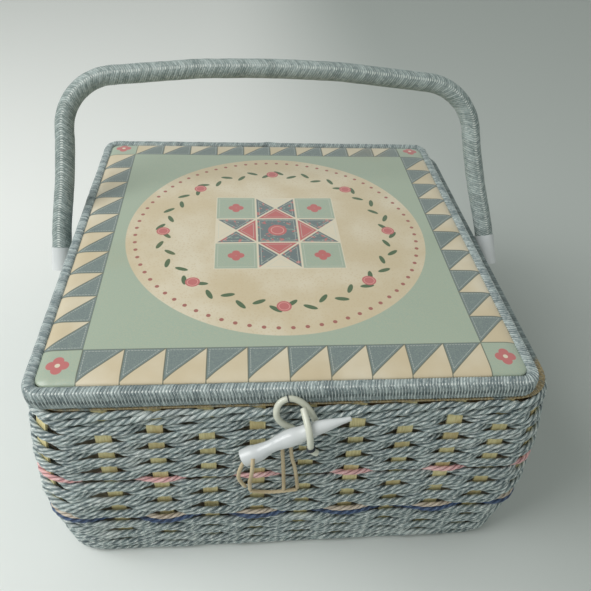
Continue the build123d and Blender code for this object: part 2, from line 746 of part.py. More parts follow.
for string_name, points in string_points.items():
    with BuildPart() as string:
        with BuildLine() as string_run:
            cord_path(points)
        with BuildSketch(string_run.line ^ 0):
            Circle(string_d / 2)
        sweep(path=string_run.line)
    string.part.label = string_name
    export_step(string.part, "parts/" + string_name + ".step")

with BuildPart() as string_stitch:
    with BuildLine() as stitch_run:
        cord_path(stitch_points)
    with BuildSketch(stitch_run.line ^ 0):
        Circle(string_d / 2)
    sweep(path=stitch_run.line)
string_stitch.part.label = "string_stitch"
export_step(string_stitch.part, "parts/string_stitch.step")
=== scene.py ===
import bpy
import math
import numpy as np
from mathutils import Matrix, Vector


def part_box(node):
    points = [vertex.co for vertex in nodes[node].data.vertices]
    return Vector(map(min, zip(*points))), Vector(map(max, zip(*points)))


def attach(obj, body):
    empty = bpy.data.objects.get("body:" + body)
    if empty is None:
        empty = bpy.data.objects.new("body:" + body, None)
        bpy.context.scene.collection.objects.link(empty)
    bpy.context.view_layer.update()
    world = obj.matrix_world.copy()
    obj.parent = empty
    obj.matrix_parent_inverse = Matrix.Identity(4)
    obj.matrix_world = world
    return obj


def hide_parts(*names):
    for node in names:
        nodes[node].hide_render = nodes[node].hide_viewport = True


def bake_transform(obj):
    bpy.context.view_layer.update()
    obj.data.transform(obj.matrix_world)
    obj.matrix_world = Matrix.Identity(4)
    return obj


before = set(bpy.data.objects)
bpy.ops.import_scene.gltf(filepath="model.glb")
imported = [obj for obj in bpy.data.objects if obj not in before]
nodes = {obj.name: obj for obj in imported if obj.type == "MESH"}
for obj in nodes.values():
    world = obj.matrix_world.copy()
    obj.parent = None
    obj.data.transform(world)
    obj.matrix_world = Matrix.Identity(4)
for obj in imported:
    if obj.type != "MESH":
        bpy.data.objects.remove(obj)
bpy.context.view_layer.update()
rng = np.random.default_rng(41)
mm = 0.001


# Shader maths as Python expressions.
class Value:
    # A number or colour in a node tree. Each operator or name in mathsNames adds one Math node.
    def __init__(self, wiring, socket):
        self.wiring, self.socket = wiring, socket

    def __neg__(self):
        return self * -1.0

    def ramp(self, low, high):  # 0 below low, 1 above high, smooth between
        return self.wiring.node("ShaderNodeMapRange", {"interpolation_type": "SMOOTHSTEP"},
                                {"Value": self, "From Min": low, "From Max": high}, "Result")

    def fade(self, low, high):  # 1 below low, 0 above high, smooth between
        return 1.0 - self.ramp(low, high)


mathsNames = {
    "__add__": "ADD", "__sub__": "SUBTRACT", "__mul__": "MULTIPLY", "__pow__": "POWER",
    "__lt__": "LESS_THAN", "__gt__": "GREATER_THAN", "__abs__": "ABSOLUTE", "least": "MINIMUM",
    "most": "MAXIMUM", "fraction": "FRACT", "whole": "FLOOR", "sign": "SIGN", "cos": "COSINE",
}


def mathsMethod(operation, reflected=False):
    def method(self, *other):
        return self.wiring.maths(operation, *([*other, self] if reflected else [self, *other]))
    return method


for word, operation in mathsNames.items():
    setattr(Value, word, mathsMethod(operation))
for word in ("add", "sub", "mul"):  # the reflected forms, so that 1 - mask works
    setattr(Value, f"__r{word}__", mathsMethod(mathsNames[f"__{word}__"], True))


class Wiring:
    # A node tree and the shader that its nodes feed.
    def __init__(self, block, shader):
        block.use_nodes = True
        self.tree = block.node_tree
        self.shader = self.tree.nodes[shader]

    def node(self, kind, settings, inputs, output=0):  # a text input is a colour, as rgb reads it
        made = self.tree.nodes.new(kind)
        for key, setting in settings.items():
            setattr(made, key, setting)
        for key, given in (inputs.items() if isinstance(inputs, dict) else enumerate(inputs)):
            if isinstance(given, Value):
                self.tree.links.new(given.socket, made.inputs[key])
            else:
                made.inputs[key].default_value = rgb(given) if isinstance(given, str) else given
        return Value(self, made.outputs[output])

    def maths(self, operation, *inputs):
        return self.node("ShaderNodeMath", {"operation": operation}, inputs)

    def mix(self, share, low, high):
        # Colour low at share 0 and high at share 1. Sockets 6 and 7 are the node's two colours.
        return self.node("ShaderNodeMix", {"data_type": "RGBA"}, {0: share, 6: low, 7: high}, 2)

    def feed(self, socket, given):
        self.tree.links.new(given.socket, self.shader.inputs[socket])


class Paint(Wiring):
    # One finish: a Principled shader, its steady sockets and the nodes that feed the others.
    def __init__(self, name, **steady):
        self.material = bpy.data.materials.new(name)
        super().__init__(self.material, "Principled BSDF")
        for socket, setting in steady.items():
            self.shader.inputs[socket.replace("_", " ")].default_value = setting

    def place(self):  # object coordinates as x, y, z in metres
        at = self.node("ShaderNodeTexCoord", {}, {}, "Object")
        return [self.node("ShaderNodeSeparateXYZ", {}, [at], axis) for axis in range(3)]

    def along(self):  # the piece's own UV map as two numbers
        at = self.node("ShaderNodeUVMap", {"uv_map": "UVMap"}, {})
        return [self.node("ShaderNodeSeparateXYZ", {}, [at], axis) for axis in range(2)]

    def point(self, x, y, z):
        return self.node("ShaderNodeCombineXYZ", {}, [x, y, z])

    def noise(self, at, scale, detail):
        return self.node("ShaderNodeTexNoise", {}, {"Vector": at, "Scale": scale, "Detail": detail})

    def fibres(self, u, v, detail=2.0):  # noise stretched by the scales already in u and v
        return self.noise(self.point(u, v, 0.0), 1.0, detail)

    def cells(self, at, scale):
        return self.node("ShaderNodeTexVoronoi", {}, {"Vector": at, "Scale": scale}, "Distance")

    def relief(self, height, depth):  # height 0 to 1, depth in metres
        self.feed("Normal", self.node("ShaderNodeBump", {}, {
            "Height": height, "Distance": depth, "Strength": 1.0}))


def rgb(text):  # a display colour such as "7f9296" as the linear colour of a shader
    parts = [int(text[i:i + 2], 16) / 255 for i in (0, 2, 4)]
    return [p / 12.92 if p <= 0.04045 else ((p + 0.055) / 1.055) ** 2.4 for p in parts] + [1.0]


def dress(paint, *names):  # gives CAD nodes their finish
    for name in names:
        nodes[name].data.materials.clear()
        nodes[name].data.materials.append(paint.material)


def placed(name, data):  # a new object in the scene
    made = bpy.data.objects.new(name, data)
    bpy.context.scene.collection.objects.link(made)
    return made


def settle(piece, body, slot, *names):  # stands for CAD nodes and moves with a body; slot is not used
    if names:
        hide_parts(*names)
    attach(piece, body)


# Meshes from grids of points.
def surface(name, grid, paint, across=(0.0, 1.0), along=None, loopU=False, loopV=False, caps=False):
    # A mesh through grid[i, j]. UV x is along[i], and UV y goes evenly from across[0] to across[1].
    countU, countV = grid.shape[:2]
    facesU = countU if loopU else countU - 1
    facesV = countV if loopV else countV - 1
    i, j = np.meshgrid(np.arange(facesU), np.arange(facesV), indexing="ij")
    nextI, nextJ = (i + 1) % countU, (j + 1) % countV
    quads = [i * countV + j, nextI * countV + j, nextI * countV + nextJ, i * countV + nextJ]
    # The volume inside is a sum of a . (b x c) over triangles. Below nothing, the faces look inwards
    # and their corners go round the other way.
    points = grid.reshape(-1, 3) - grid.reshape(-1, 3).mean(0)
    a, b, c, d = (points[quad] for quad in quads)
    inward = ((np.cross(b, c) + np.cross(c, d)) * a).sum() < -1e-12
    turned = [0, 3, 2, 1] if inward else [0, 1, 2, 3]
    corners = np.stack([quads[k] for k in turned], -1).reshape(-1, 4)
    lines = np.arange(countU + 1.0) if along is None else np.append(along, 2 * along[-1] - along[-2])
    rows = across[0] + (across[1] - across[0]) * np.arange(facesV + 1.0) / facesV
    u = np.stack([lines[i], lines[i + 1], lines[i + 1], lines[i]], -1)[..., turned].ravel()
    v = np.stack([rows[j], rows[j], rows[j + 1], rows[j + 1]], -1)[..., turned].ravel()
    loops = corners.ravel()
    starts = np.arange(len(corners)) * 4
    if caps:  # the two open ends become one flat face each
        ends = [np.arange(countV), (countU - 1) * countV + np.arange(countV)[::-1]]
        ends = [end[::-1] for end in ends] if inward else ends
        starts = np.append(starts, [len(loops), len(loops) + countV])
        loops = np.concatenate([loops] + ends)
        u = np.append(u, np.repeat([lines[0], lines[-2]], countV))
        v = np.append(v, np.zeros(2 * countV))
    mesh = bpy.data.meshes.new(name)
    mesh.vertices.add(countU * countV)
    mesh.vertices.foreach_set("co", grid.astype(np.float32).ravel())
    mesh.loops.add(len(loops))
    mesh.loops.foreach_set("vertex_index", loops.astype(np.int32))
    mesh.polygons.add(len(starts))
    mesh.polygons.foreach_set("loop_start", starts.astype(np.int32))
    mesh.uv_layers.new(name="UVMap").data.foreach_set("uv", np.stack([u, v], -1).ravel())
    mesh.update(calc_edges=True)
    mesh.validate()
    mesh.shade_smooth()
    mesh.materials.append(paint.material)
    return placed(name, mesh)


def joined(name, pieces):  # several meshes as one piece
    bpy.ops.object.select_all(action="DESELECT")
    for piece in pieces:
        piece.select_set(True)
    bpy.context.view_layer.objects.active = pieces[0]
    bpy.ops.object.join()
    pieces[0].name = pieces[0].data.name = name
    return pieces[0]


def unit(vectors):
    return vectors / np.linalg.norm(vectors, axis=-1, keepdims=True)


def circle(count):  # even angles once round
    return np.arange(count) * 2 * np.pi / count


def distances(line):  # how far each point of a line is from its start, along the line
    return np.insert(np.cumsum(np.linalg.norm(np.diff(line, axis=0), axis=1)), 0, 0.0)


def raised(place, height):  # plan points and heights as points in space
    return np.concatenate([place, height[..., None]], -1)


def crests(count, perWave):  # ridges: the size of a cosine, to a power that broadens their tops
    return np.abs(np.cos(np.pi * np.arange(count) / perWave)) ** 0.7


def ripple(share, waves, amount):
    # Sum of sines in whole waves per lap with random phases, so a closed line meets itself.
    number = np.arange(1, waves + 1)
    phase = rng.uniform(0, 2 * np.pi, waves)
    size = rng.uniform(0.4, 1.0, waves)
    return amount * (np.sin(2 * np.pi * share[..., None] * number + phase) * size).sum(-1) / waves ** 0.5


def rope(line, outward, radius, lay, plies, depth, around, closed, puff=0.0):
    # A twisted cord. The radius dips plies times round each point of line, after the size of a
    # cosine, and the section turns once in each lay. The mesh turns too, along the strands.
    after = np.roll(line, -1, 0) if closed else np.vstack([line[1:], 2 * line[-1] - line[-2]])
    before = np.roll(line, 1, 0) if closed else np.vstack([2 * line[0] - line[1], line[:-1]])
    way = unit(after - before)
    side = unit(outward - (outward * way).sum(-1, keepdims=True) * way)
    up = np.cross(way, side)
    steps = np.linalg.norm(after - line, axis=-1)
    length = steps.sum() if closed else steps[:-1].sum()
    reach = np.cumsum(steps) - steps
    turns = max(round(length / lay), 1) if closed else length / lay
    angle = circle(around)
    swell = radius * (1 + puff * ripple(reach / length, 90, 1.0)) if puff else radius
    swell = np.broadcast_to(swell, reach.shape)
    lobe = 1 - depth + depth * np.abs(np.cos(plies * angle / 2)) ** 0.8
    turned = angle - 2 * np.pi * turns * reach[:, None] / length
    spread = (swell[:, None] * lobe)[..., None]
    grid = line[:, None] + spread * (np.cos(turned)[..., None] * side[:, None]
                                     + np.sin(turned)[..., None] * up[:, None])
    return grid, reach


viewpoint = {
    "place": (-0.03107, -0.35734, 0.4105), "right": (0.99589, -0.07502, 0.05075),
    "up": (0.01094, 0.65589, 0.75478), "back": (-0.08991, -0.75112, 0.65401),
    "sensor": 36.0, "focal": 590 / 591,  # focal length as a share of the frame
}
camera = placed("camera", bpy.data.cameras.new("camera"))
camera.data.sensor_width = viewpoint["sensor"]
camera.data.lens = viewpoint["sensor"] * viewpoint["focal"]
turn = np.eye(4)
for column, key in enumerate(("right", "up", "back", "place")):
    turn[:3, column] = viewpoint[key]
camera.matrix_world = Matrix(turn.tolist())
bpy.context.scene.camera = camera

studio = {
    "lamps": {"keyLight": ((-0.88, -0.26, 1.06), 11.8), "sideLight": ((0.9, -0.7, 0.8), 0.3)},
    "lampSize": 0.8, "lookAt": (0.0, 0.0, 0.1), "sky": "e2e7e3", "skyStrength": 0.53,
    "backdropStrength": 0.78, "nearLeft": "e8ece9", "nearRight": "b8beba", "farLeft": "f6f8f5",
    "farRight": "c0c6c2", "floorReach": 4.0,
}
for name, (place, watts) in studio["lamps"].items():  # square lamps that look at the basket
    lamp = bpy.data.lights.new(name, "AREA")
    lamp.energy, lamp.size = watts, studio["lampSize"]
    box = placed(name, lamp)
    box.location = place
    box.rotation_mode = "QUATERNION"
    look = Vector(studio["lookAt"]) - Vector(place)
    box.rotation_quaternion = look.to_track_quat("-Z", "Y")

# The backdrop is paler to the camera and in reflections than the light that comes from it.
world = bpy.data.worlds.new("world")
bpy.context.scene.world = world
air = Wiring(world, "Background")
air.shader.inputs["Color"].default_value = rgb(studio["sky"])
seen, glossy, through = [air.node("ShaderNodeLightPath", {}, {}, f"Is {kind} Ray")
                         for kind in ("Camera", "Glossy", "Transmission")]
air.feed("Strength", air.node("ShaderNodeMapRange", {}, {
    "Value": seen.most(glossy).most(through), "To Min": studio["skyStrength"],
    "To Max": studio["backdropStrength"]}, "Result"))
bpy.context.scene.view_settings.view_transform = "Standard"

# A flat cloth with painted light and shade: painted light makes it paler to the left and behind the
# basket, and painted shade darkens it to the right.
cloth = Paint("floorCloth", Roughness=0.9)
x, y, z = cloth.place()
# Painted shade: the colour darkens towards the right.
paintedShadeToRight = x.ramp(-0.10, 0.30)
near = cloth.mix(paintedShadeToRight, studio["nearLeft"], studio["nearRight"])
far = cloth.mix(paintedShadeToRight, studio["farLeft"], studio["farRight"])
cloth.feed("Base Color", cloth.mix(y.ramp(0.0, 0.30), near, far))
reach = np.linspace(-studio["floorReach"], studio["floorReach"], 9)
floorGrid = np.stack(np.meshgrid(reach, reach, [0.0], indexing="ij"), -1)[:, :, 0]
floor = surface("floor", floorGrid, cloth)
print("camera, light and floor")


cordPlies = 3  # strands in each basket cord


def cordPaint(name, colour, shade, gleam):
    # Twisted fibre: painted shade between the strands, painted highlights on the fibres of their crests,
    # and fine fibres along them. The crests are the size of a cosine across the strands.
    paint = Paint(name, Roughness=0.5, Specular_IOR_Level=0.45)
    x, y, z = paint.place()
    u, v = paint.along()
    crest = abs((v * (cordPlies * math.pi)).cos())
    patch = paint.noise(paint.point(u * 60.0, (v * cordPlies).whole() * 3.7, z * 30.0), 1.0, 3.0)
    fibre = paint.fibres(u * 420.0, v * 48.0)
    worn = paint.noise(paint.point(x, y, z), 38.0, 3.0)
    body = paint.mix(patch.ramp(0.3, 0.7), shade, colour)
    body = paint.mix(worn.ramp(0.52, 0.75) * 0.4, body, gleam)
    # Painted highlights: the fibres on the crests are mixed towards the gleam colour.
    lit = paint.mix((fibre * (0.45 + 0.55 * crest)).ramp(0.44, 0.58), body, gleam)
    # Painted shade between the strands: the colour there is mixed three quarters to near black.
    paint.feed("Base Color", paint.mix(crest.ramp(0.02, 0.5), paint.mix(0.74, body, "1d2628"), lit))
    paint.relief(fibre * 0.8 + crest * 0.2, 0.35 * mm)
    return paint


def canePaint(name, colour, shade):
    # Split cane: straight grain up the splint, a few stains.
    paint = Paint(name, Roughness=0.55, Specular_IOR_Level=0.4)
    x, y, z = paint.place()
    grain = paint.noise(paint.point(x * 900.0, y * 900.0, z * 18.0), 1.0, 2.0)
    stain = paint.noise(paint.point(x, y, z), 45.0, 3.0)
    body = paint.mix(grain.ramp(0.3, 0.7), shade, colour)
    paint.feed("Base Color", paint.mix(stain.ramp(0.45, 0.75) * 0.6, body, "b89a66"))
    paint.relief(grain, 0.25 * mm)
    return paint


def plainPaint(name, colour, shade, roughness, grainScale, depth, **steady):
    # A plain material with soft patches and a fine grain.
    paint = Paint(name, Roughness=roughness, **steady)
    at = paint.point(*paint.place())
    patch = paint.noise(at, 30.0, 3.0)
    grain = paint.noise(at, grainScale, 2.0)
    body = paint.mix(patch.ramp(0.3, 0.7), shade, colour)
    paint.feed("Base Color", paint.mix(grain.ramp(0.45, 0.8) * 0.25, body, shade))
    paint.relief(grain, depth)
    return paint


greyCord = cordPaint("greyCord", "a4b3b2", "66767a", "f6faf5")
navyCord = cordPaint("navyCord", "2d4873", "1f3153", "7489a6")
beigeCord = cordPaint("beigeCord", "d8c8b5", "b5a491", "f4e9db")
pinkCord = cordPaint("pinkCord", "f2b6b7", "d69a9b", "fde2df")
twine = plainPaint("twine", "dccdae", "b9a684", 0.7, 900.0, 0.05 * mm)
cane = canePaint("cane", "ebe0ad", "d2c590")
vinylCord = plainPaint("vinylCord", "dddecf", "c6c8b6", 0.38, 260.0, 0.05 * mm, Coat_Weight=0.3)
paleHorn = plainPaint("paleHorn", "dde0e0", "c9cdce", 0.34, 140.0, 0.06 * mm, Coat_Weight=0.35)
darkThread = plainPaint("darkThread", "2a313c", "161a22", 0.6, 900.0, 0.05 * mm)
board = plainPaint("board", "a98d66", "8d7350", 0.7, 350.0, 0.1 * mm)
bentCane = plainPaint("bentCane", "b39460", "96784a", 0.6, 500.0, 0.1 * mm)
rivetMetal = plainPaint("rivetMetal", "9a9a98", "7c7c7c", 0.35, 600.0, 0.03 * mm, Metallic=1.0)
trayPlastic = plainPaint("trayPlastic", "cbbfa8", "b8ab93", 0.42, 700.0, 0.04 * mm)

# The cords of the closure: control points in metres, as in the solids' routes.
loopPoints = [(-0.0030, -0.1566, 0.1364), (-0.0090, -0.1566, 0.1398), (-0.0136, -0.1554, 0.1466),
              (-0.0122, -0.1520, 0.1534), (-0.0056, -0.1505, 0.1566), (0.0020, -0.1518, 0.1532),
              (0.0074, -0.1552, 0.1470), (0.0096, -0.1566, 0.1404)]
strandPoints = [(0.0016, -0.1558, 0.1525), (0.0032, -0.1646, 0.1508), (0.0046, -0.1698, 0.1450),
                (0.0050, -0.1704, 0.1386), (0.0062, -0.1704, 0.1338), (0.0090, -0.1702, 0.1318)]
stitchPoints = [(-0.0276, -0.1614, 0.0812), (-0.0200, -0.1616, 0.0794), (-0.0090, -0.1616, 0.0790),
                (0.0016, -0.1614, 0.0808)]
stringPoints = {
    "string_front": [(-0.0262, -0.1714, 0.1304), (-0.0264, -0.1742, 0.1272), (-0.0270, -0.1732, 0.1170),
                     (-0.0278, -0.1690, 0.1050), (-0.0280, -0.1650, 0.0950), (-0.0276, -0.1614, 0.0828)],
    "string_left": [(-0.0318, -0.1686, 0.1219), (-0.0348, -0.1680, 0.1110),
                    (-0.0338, -0.1650, 0.0980), (-0.0306, -0.1612, 0.0862)],
    "string_inner": [(-0.0094, -0.1596, 0.1284), (-0.0086, -0.1612, 0.1140),
                     (-0.0076, -0.1615, 0.1000), (-0.0068, -0.1614, 0.0808)],
    "string_right": [(-0.0046, -0.1594, 0.1290), (-0.0040, -0.1610, 0.1160),
                     (-0.0006, -0.1615, 0.1040), (0.0016, -0.1614, 0.0824)],
}
closure = {"loopDiameter": 0.0038, "stringDiameter": 0.0024, "stringLay": 0.0062, "around": 12,
           "plyDepth": 0.2, "threadDiameter": 0.0006, "threadSpot": 0.80, "threadTurns": 4,
           "threadWidth": 0.0022}


def smoothLine(points):  # the cord's centre line, read from a NURBS spline through its control points
    curve = bpy.data.curves.new("route", "CURVE")
    curve.dimensions = "3D"
    curve.resolution_u = 24
    spline = curve.splines.new("NURBS")
    spline.points.add(len(points) - 1)
    spline.points.foreach_set("co", np.array([list(p) + [1.0] for p in points]).ravel())
    spline.order_u = 3
    spline.use_endpoint_u = True
    holder = placed("route", curve)
    mesh = bpy.data.meshes.new_from_object(holder)
    line = np.zeros(len(mesh.vertices) * 3)
    mesh.vertices.foreach_get("co", line)
    bpy.data.objects.remove(holder)
    bpy.data.meshes.remove(mesh)
    return line.reshape(-1, 3)


def cordMesh(name, points, diameter, paint, facing, plies=0):  # a smooth cord has no plies
    line = smoothLine(points)
    outward = np.broadcast_to(np.array(facing, float), line.shape)
    grid, reach = rope(line, outward, diameter / 2, closure["stringLay"], max(plies, 1),
                       closure["plyDepth"] if plies else 0.0, closure["around"], False)
    return surface(name + "_cord", grid, paint, along=reach, loopV=True, caps=True), line


def cordPiece(name, points, diameter, paint, facing, plies=0):
    piece, line = cordMesh(name, points, diameter, paint, facing, plies)
    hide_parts(name)
    return piece


def threadTurns(name, points):
    # A helix of thin thread round the cord, centred at a share of the cord's length.
    line = smoothLine(points)
    gone = distances(line)
    t = np.linspace(-0.5, 0.5, closure["threadTurns"] * 24)
    at = closure["threadSpot"] * gone[-1] + t * closure["threadWidth"]
    middle = np.stack([np.interp(at, gone, line[:, axis]) for axis in range(3)], -1)
    way = unit(np.gradient(middle, axis=0))
    side = unit(np.cross(way, [0.0, 1.0, 0.0]))
    up = np.cross(way, side)
    turn = 2 * np.pi * closure["threadTurns"] * t[:, None]
    radius = (closure["loopDiameter"] + closure["threadDiameter"]) / 2
    helix = middle + radius * (np.cos(turn) * side + np.sin(turn) * up)
    grid, reach = rope(helix, way, closure["threadDiameter"] / 2, 1.0, 1, 0.0, 8, False)
    return surface(name, grid, darkThread, along=reach, loopV=True, caps=True)


binding = threadTurns("strand_binding", strandPoints)
settle(binding, "lid", "thread")
loop = cordPiece("closure_loop", loopPoints, closure["loopDiameter"], vinylCord, (0, -1, 0))
strand = cordPiece("closure_strand", strandPoints, closure["loopDiameter"], vinylCord, (1, 0, 0))
for piece in (loop, strand):
    settle(piece, "lid", "vinyl_cord")
stitch, _ = cordMesh("string_stitch", stitchPoints, closure["stringDiameter"], twine, (0, -1, 0), plies=2)
settle(stitch, "basket", "twine", "string_stitch")
for stringName, points in stringPoints.items():
    string = cordPiece(stringName, points, closure["stringDiameter"], twine, (1, 0, 0), plies=2)
    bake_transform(string)
print("loop, strand, strings and stitch")

peg = {
    "butt": (-0.0315, -0.1680, 0.1270), "way": (0.926508, 0.126056, 0.354531), "length": 0.0634,
    "slant": 0.0010, "slantReach": 0.012, "hollow": 0.0007, "bluntness": 0.5, "around": 40, "rings": 90,
    "buttRings": [0.15, 0.6, 0.86, 0.96], "tipRings": [0.92, 0.75, 0.4, 0.1],  # shares of the radius
    # share of the length, radius and rise of the middle line, both in millimetres
    "stations": [(0.0, 5.1, -0.9), (0.08, 5.15, -0.8), (0.17, 4.6, -0.8), (0.255, 3.7, 0.5),
                 (0.33, 4.1, 1.4), (0.41, 4.8, 1.6), (0.48, 5.0, 1.5), (0.55, 4.6, 1.3),
                 (0.64, 4.2, 1.7), (0.73, 3.8, 1.3), (0.82, 3.0, 0.5), (0.91, 2.0, -0.4),
                 (1.0, 1.3, -1.4)],
}


def throughStations(share, column):
    # A cubic Hermite curve through one column of the stations, with the slopes between neighbours.
    table = np.array(peg["stations"])
    spot = np.interp(share, table[:, 0], np.arange(len(table)))
    low = np.clip(spot.astype(int), 0, len(table) - 2)
    part = spot - low
    slope = np.gradient(table[:, column], table[:, 0])
    width = table[low + 1, 0] - table[low, 0]
    a, b = table[low, column], table[low + 1, column]
    m, n = slope[low] * width, slope[low + 1] * width
    return ((2 * part ** 3 - 3 * part ** 2 + 1) * a + (part ** 3 - 2 * part ** 2 + part) * m
            + (3 * part ** 2 - 2 * part ** 3) * b + (part ** 3 - part ** 2) * n)


def hornPeg():
    # Rings along a slightly bowed line: the hollow of the butt as a parabola, the wall, and a blunt
    # tip as a flattened quarter circle. The butt is cut at a slant that fades out along the peg.
    share = np.linspace(0, 1, peg["rings"])
    radius, rise = throughStations(share, 1) * mm, throughStations(share, 2) * mm
    inner, tip = np.array(peg["buttRings"]), np.array(peg["tipRings"])
    reach = share * peg["length"]
    reach = np.concatenate([reach[0] + peg["hollow"] * (1 - inner ** 2), reach,
                            reach[-1] + radius[-1] * peg["bluntness"] * np.sqrt(1 - tip ** 2)])
    rise = np.concatenate([np.full(len(inner), rise[0]), rise, np.full(len(tip), rise[-1])])
    radius = np.concatenate([radius[0] * inner, radius, radius[-1] * tip])
    way = np.array(peg["way"])
    side = unit(np.cross(way, [0.0, 0.0, 1.0]))
    up = np.cross(side, way)
    turn = circle(peg["around"])
    fading = np.clip(1 - reach / peg["slantReach"], 0, 1)[:, None]
    cut = -peg["slant"] * np.sin(turn)[None] * fading * (radius / radius.max())[:, None]
    along = (reach[:, None] + cut)[..., None] * way
    lift = (rise[:, None] + radius[:, None] * np.sin(turn))[..., None] * up
    return np.array(peg["butt"]) + along + lift + (radius[:, None] * np.cos(turn))[..., None] * side


pegPiece = surface("hornPeg", hornPeg(), paleHorn, loopV=True, caps=True)
settle(pegPiece, "toggle", "pale_plastic", "toggle_peg")
print("peg")

wall = {
    "baseHalf": 0.156, "bellyHalf": 0.160, "rimHalf": 0.1515, "bellyZ": 0.070, "height": 0.148,
    "cornerBase": 0.031, "cornerRim": 0.025, "thickness": 0.0082,
    "splintPitch": 0.029, "splintShift": 0.0059, "splintsEachWay": 4,
    "lay": 0.0170, "step": 0.00125, "around": 12, "strandDepth": 0.24, "puff": 0.04,
    "sway": 0.0007, "swayWaves": 60, "liftWaves": 40, "cordsInPiece": 7,
    "cover": 0.0011, "coverTop": 0.080, "coverFade": 0.014,
}


def halfAt(z):
    # Half width: a parabola below the widest row and another above it.
    belly, bellyZ = wall["bellyHalf"], wall["bellyZ"]
    upper = (belly - wall["rimHalf"]) * ((z - bellyZ) / (wall["height"] - bellyZ)) ** 2
    lower = (belly - wall["baseHalf"]) * ((bellyZ - z) / bellyZ) ** 2
    return belly - np.where(z > bellyZ, upper, lower)


def cornerAt(z):
    # Corner radius: it runs straight from the foot's to the rim's.
    return wall["cornerBase"] + (wall["cornerRim"] - wall["cornerBase"]) * z / wall["height"]


def squareLap(s, half, corner):
    # Plan point and outward direction at distance s round a square with rounded corners: straight
    # past the middle of each side, then a quarter circle. s = 0 is the middle of the front.
    straight = half - corner
    lap = 2 * straight + corner * np.pi / 2
    side = np.floor((s + straight) / lap)
    rest = s + straight - side * lap
    bend = np.clip((rest - 2 * straight) / corner, 0, None)
    x = np.where(rest < 2 * straight, rest - straight, straight + corner * np.sin(bend))
    y = np.where(rest < 2 * straight, -half, -straight - corner * np.cos(bend))
    nx, ny = np.sin(bend), -np.cos(bend)
    c, d = np.cos(side * np.pi / 2), np.sin(side * np.pi / 2)
    return (np.stack([c * x - d * y, d * x + c * y], -1),
            np.stack([c * nx - d * ny, d * nx + c * ny], -1))


def lapLength(half, corner):
    return 4 * (2 * (half - corner) + corner * np.pi / 2)


def evenLap(half, corner, step):
    # Once round in even steps: the distances, the whole length, plan points and outward directions.
    length = lapLength(half, corner)
    s = np.linspace(0, length, int(length / step), endpoint=False)
    return s, length, *squareLap(s, half, corner)


def nestedLaps(half, corner, around):  # as many points round each of several squares
    share = np.arange(around) / around
    return squareLap(share * lapLength(half, corner)[:, None], half[:, None], corner[:, None])


def splintPhase(s, half, corner):
    # Counts the splints passed at distance s, with whole numbers on the splints.
    straight = half - corner
    lap = 2 * straight + corner * np.pi / 2
    each = wall["splintsEachWay"]
    numbers = np.arange(-each, each + 1)
    spots = np.append(wall["splintShift"] + numbers * wall["splintPitch"], straight + corner * np.pi / 4)
    knots = np.concatenate([side * lap + spots for side in range(-1, 5)])
    return np.interp(s, knots, np.arange(len(knots)) - (2 * each + 2))


def basketCord(name, place, outward, z, diameter, paint, number, puff=wall["puff"]):
    # A closed cord of the basket's own lay through plan points at height z.
    facing = np.column_stack([outward, np.zeros(len(place))])
    grid, reach = rope(np.column_stack([place, z]), facing, diameter / 2, wall["lay"], cordPlies,
                       wall["strandDepth"], wall["around"], True, puff)
    return surface(name, grid, paint, across=(number, number + 1.0), along=reach, loopU=True, loopV=True)


def weaveCord(z, frontOnOdd, thickness, wave, dip, paint, number):
    # One cord once round the wall. It lies outside, and dips in behind every other splint along one
    # wave of a cosine.
    half = halfAt(z) - wall["thickness"] / 2
    corner = cornerAt(z) - wall["thickness"] / 2
    s, length, place, outward = evenLap(half, corner, wall["step"])
    passed = splintPhase(s, half, corner) + (0 if frontOnOdd else 1)
    toSplint = np.abs(passed - 2 * np.round(passed / 2))  # distance to the next splint it goes behind
    inOut = -np.cos(np.pi * np.clip(toSplint / dip, 0, 1))
    # Lower down the cords lie further out and hide the splints.
    cover = wall["cover"] * np.clip((wall["coverTop"] - z) / wall["coverFade"], 0, 1)
    offset = cover + wave * inOut + ripple(s / length, wall["swayWaves"], wall["sway"] * 0.6)
    height = z + ripple(s / length, wall["liftWaves"], wall["sway"])
    return basketCord(f"cord{number}", place + outward * offset[:, None], outward, height, thickness,
                      paint, number)


# name, node, foot, rows, row height, cords in a row, top row in front of the odd splints, cord
# thickness, wave, length of the dip behind a splint in splint spacings, finish, slot
bands = [
    ("wovenLower", "weave_lower", 0.0045, 6, 0.0068, 2, False, 0.0037, 0.0017, 0.62, greyCord, "cord"),
    ("rowNavy", "row_navy", 0.0453, 1, 0.0046, 1, True, 0.0044, 0.0028, 0.95, navyCord, "cord_navy"),
    ("rowBeige", "row_beige", 0.0499, 1, 0.0034, 1, True, 0.0033, 0.0022, 0.95, beigeCord, "cord_beige"),
    ("wovenMiddle", "weave_middle", 0.0533, 5, 0.00736, 2, False, 0.0037, 0.00235, 0.62, greyCord, "cord"),
    ("rowPink", "row_pink", 0.0901, 1, 0.0032, 1, True, 0.0034, 0.00255, 0.98, pinkCord, "cord_pink"),
    ("wovenUpper", "weave_upper", 0.0933, 7, 0.0063, 2, False, 0.0034, 0.00245, 0.62, greyCord, "cord"),
]
number = 0
for name, node, foot, rows, pitch, cords, topOnOdd, thickness, wave, dip, paint, slotName in bands:
    made = []
    for row in range(rows):
        onOdd = topOnOdd == ((rows - 1 - row) % 2 == 0)
        for cord in range(cords):
            z = foot + row * pitch + (cord + 0.5) * (pitch / cords)
            made.append(weaveCord(z, onOdd, thickness, wave, dip, paint, number))
            number += 1
    for first in range(0, len(made), wall["cordsInPiece"]):
        piece = joined(f"{name}{first // wall['cordsInPiece'] + 1}",
                       made[first:first + wall["cordsInPiece"]])
        settle(piece, "basket", slotName, node)
print("woven wall")

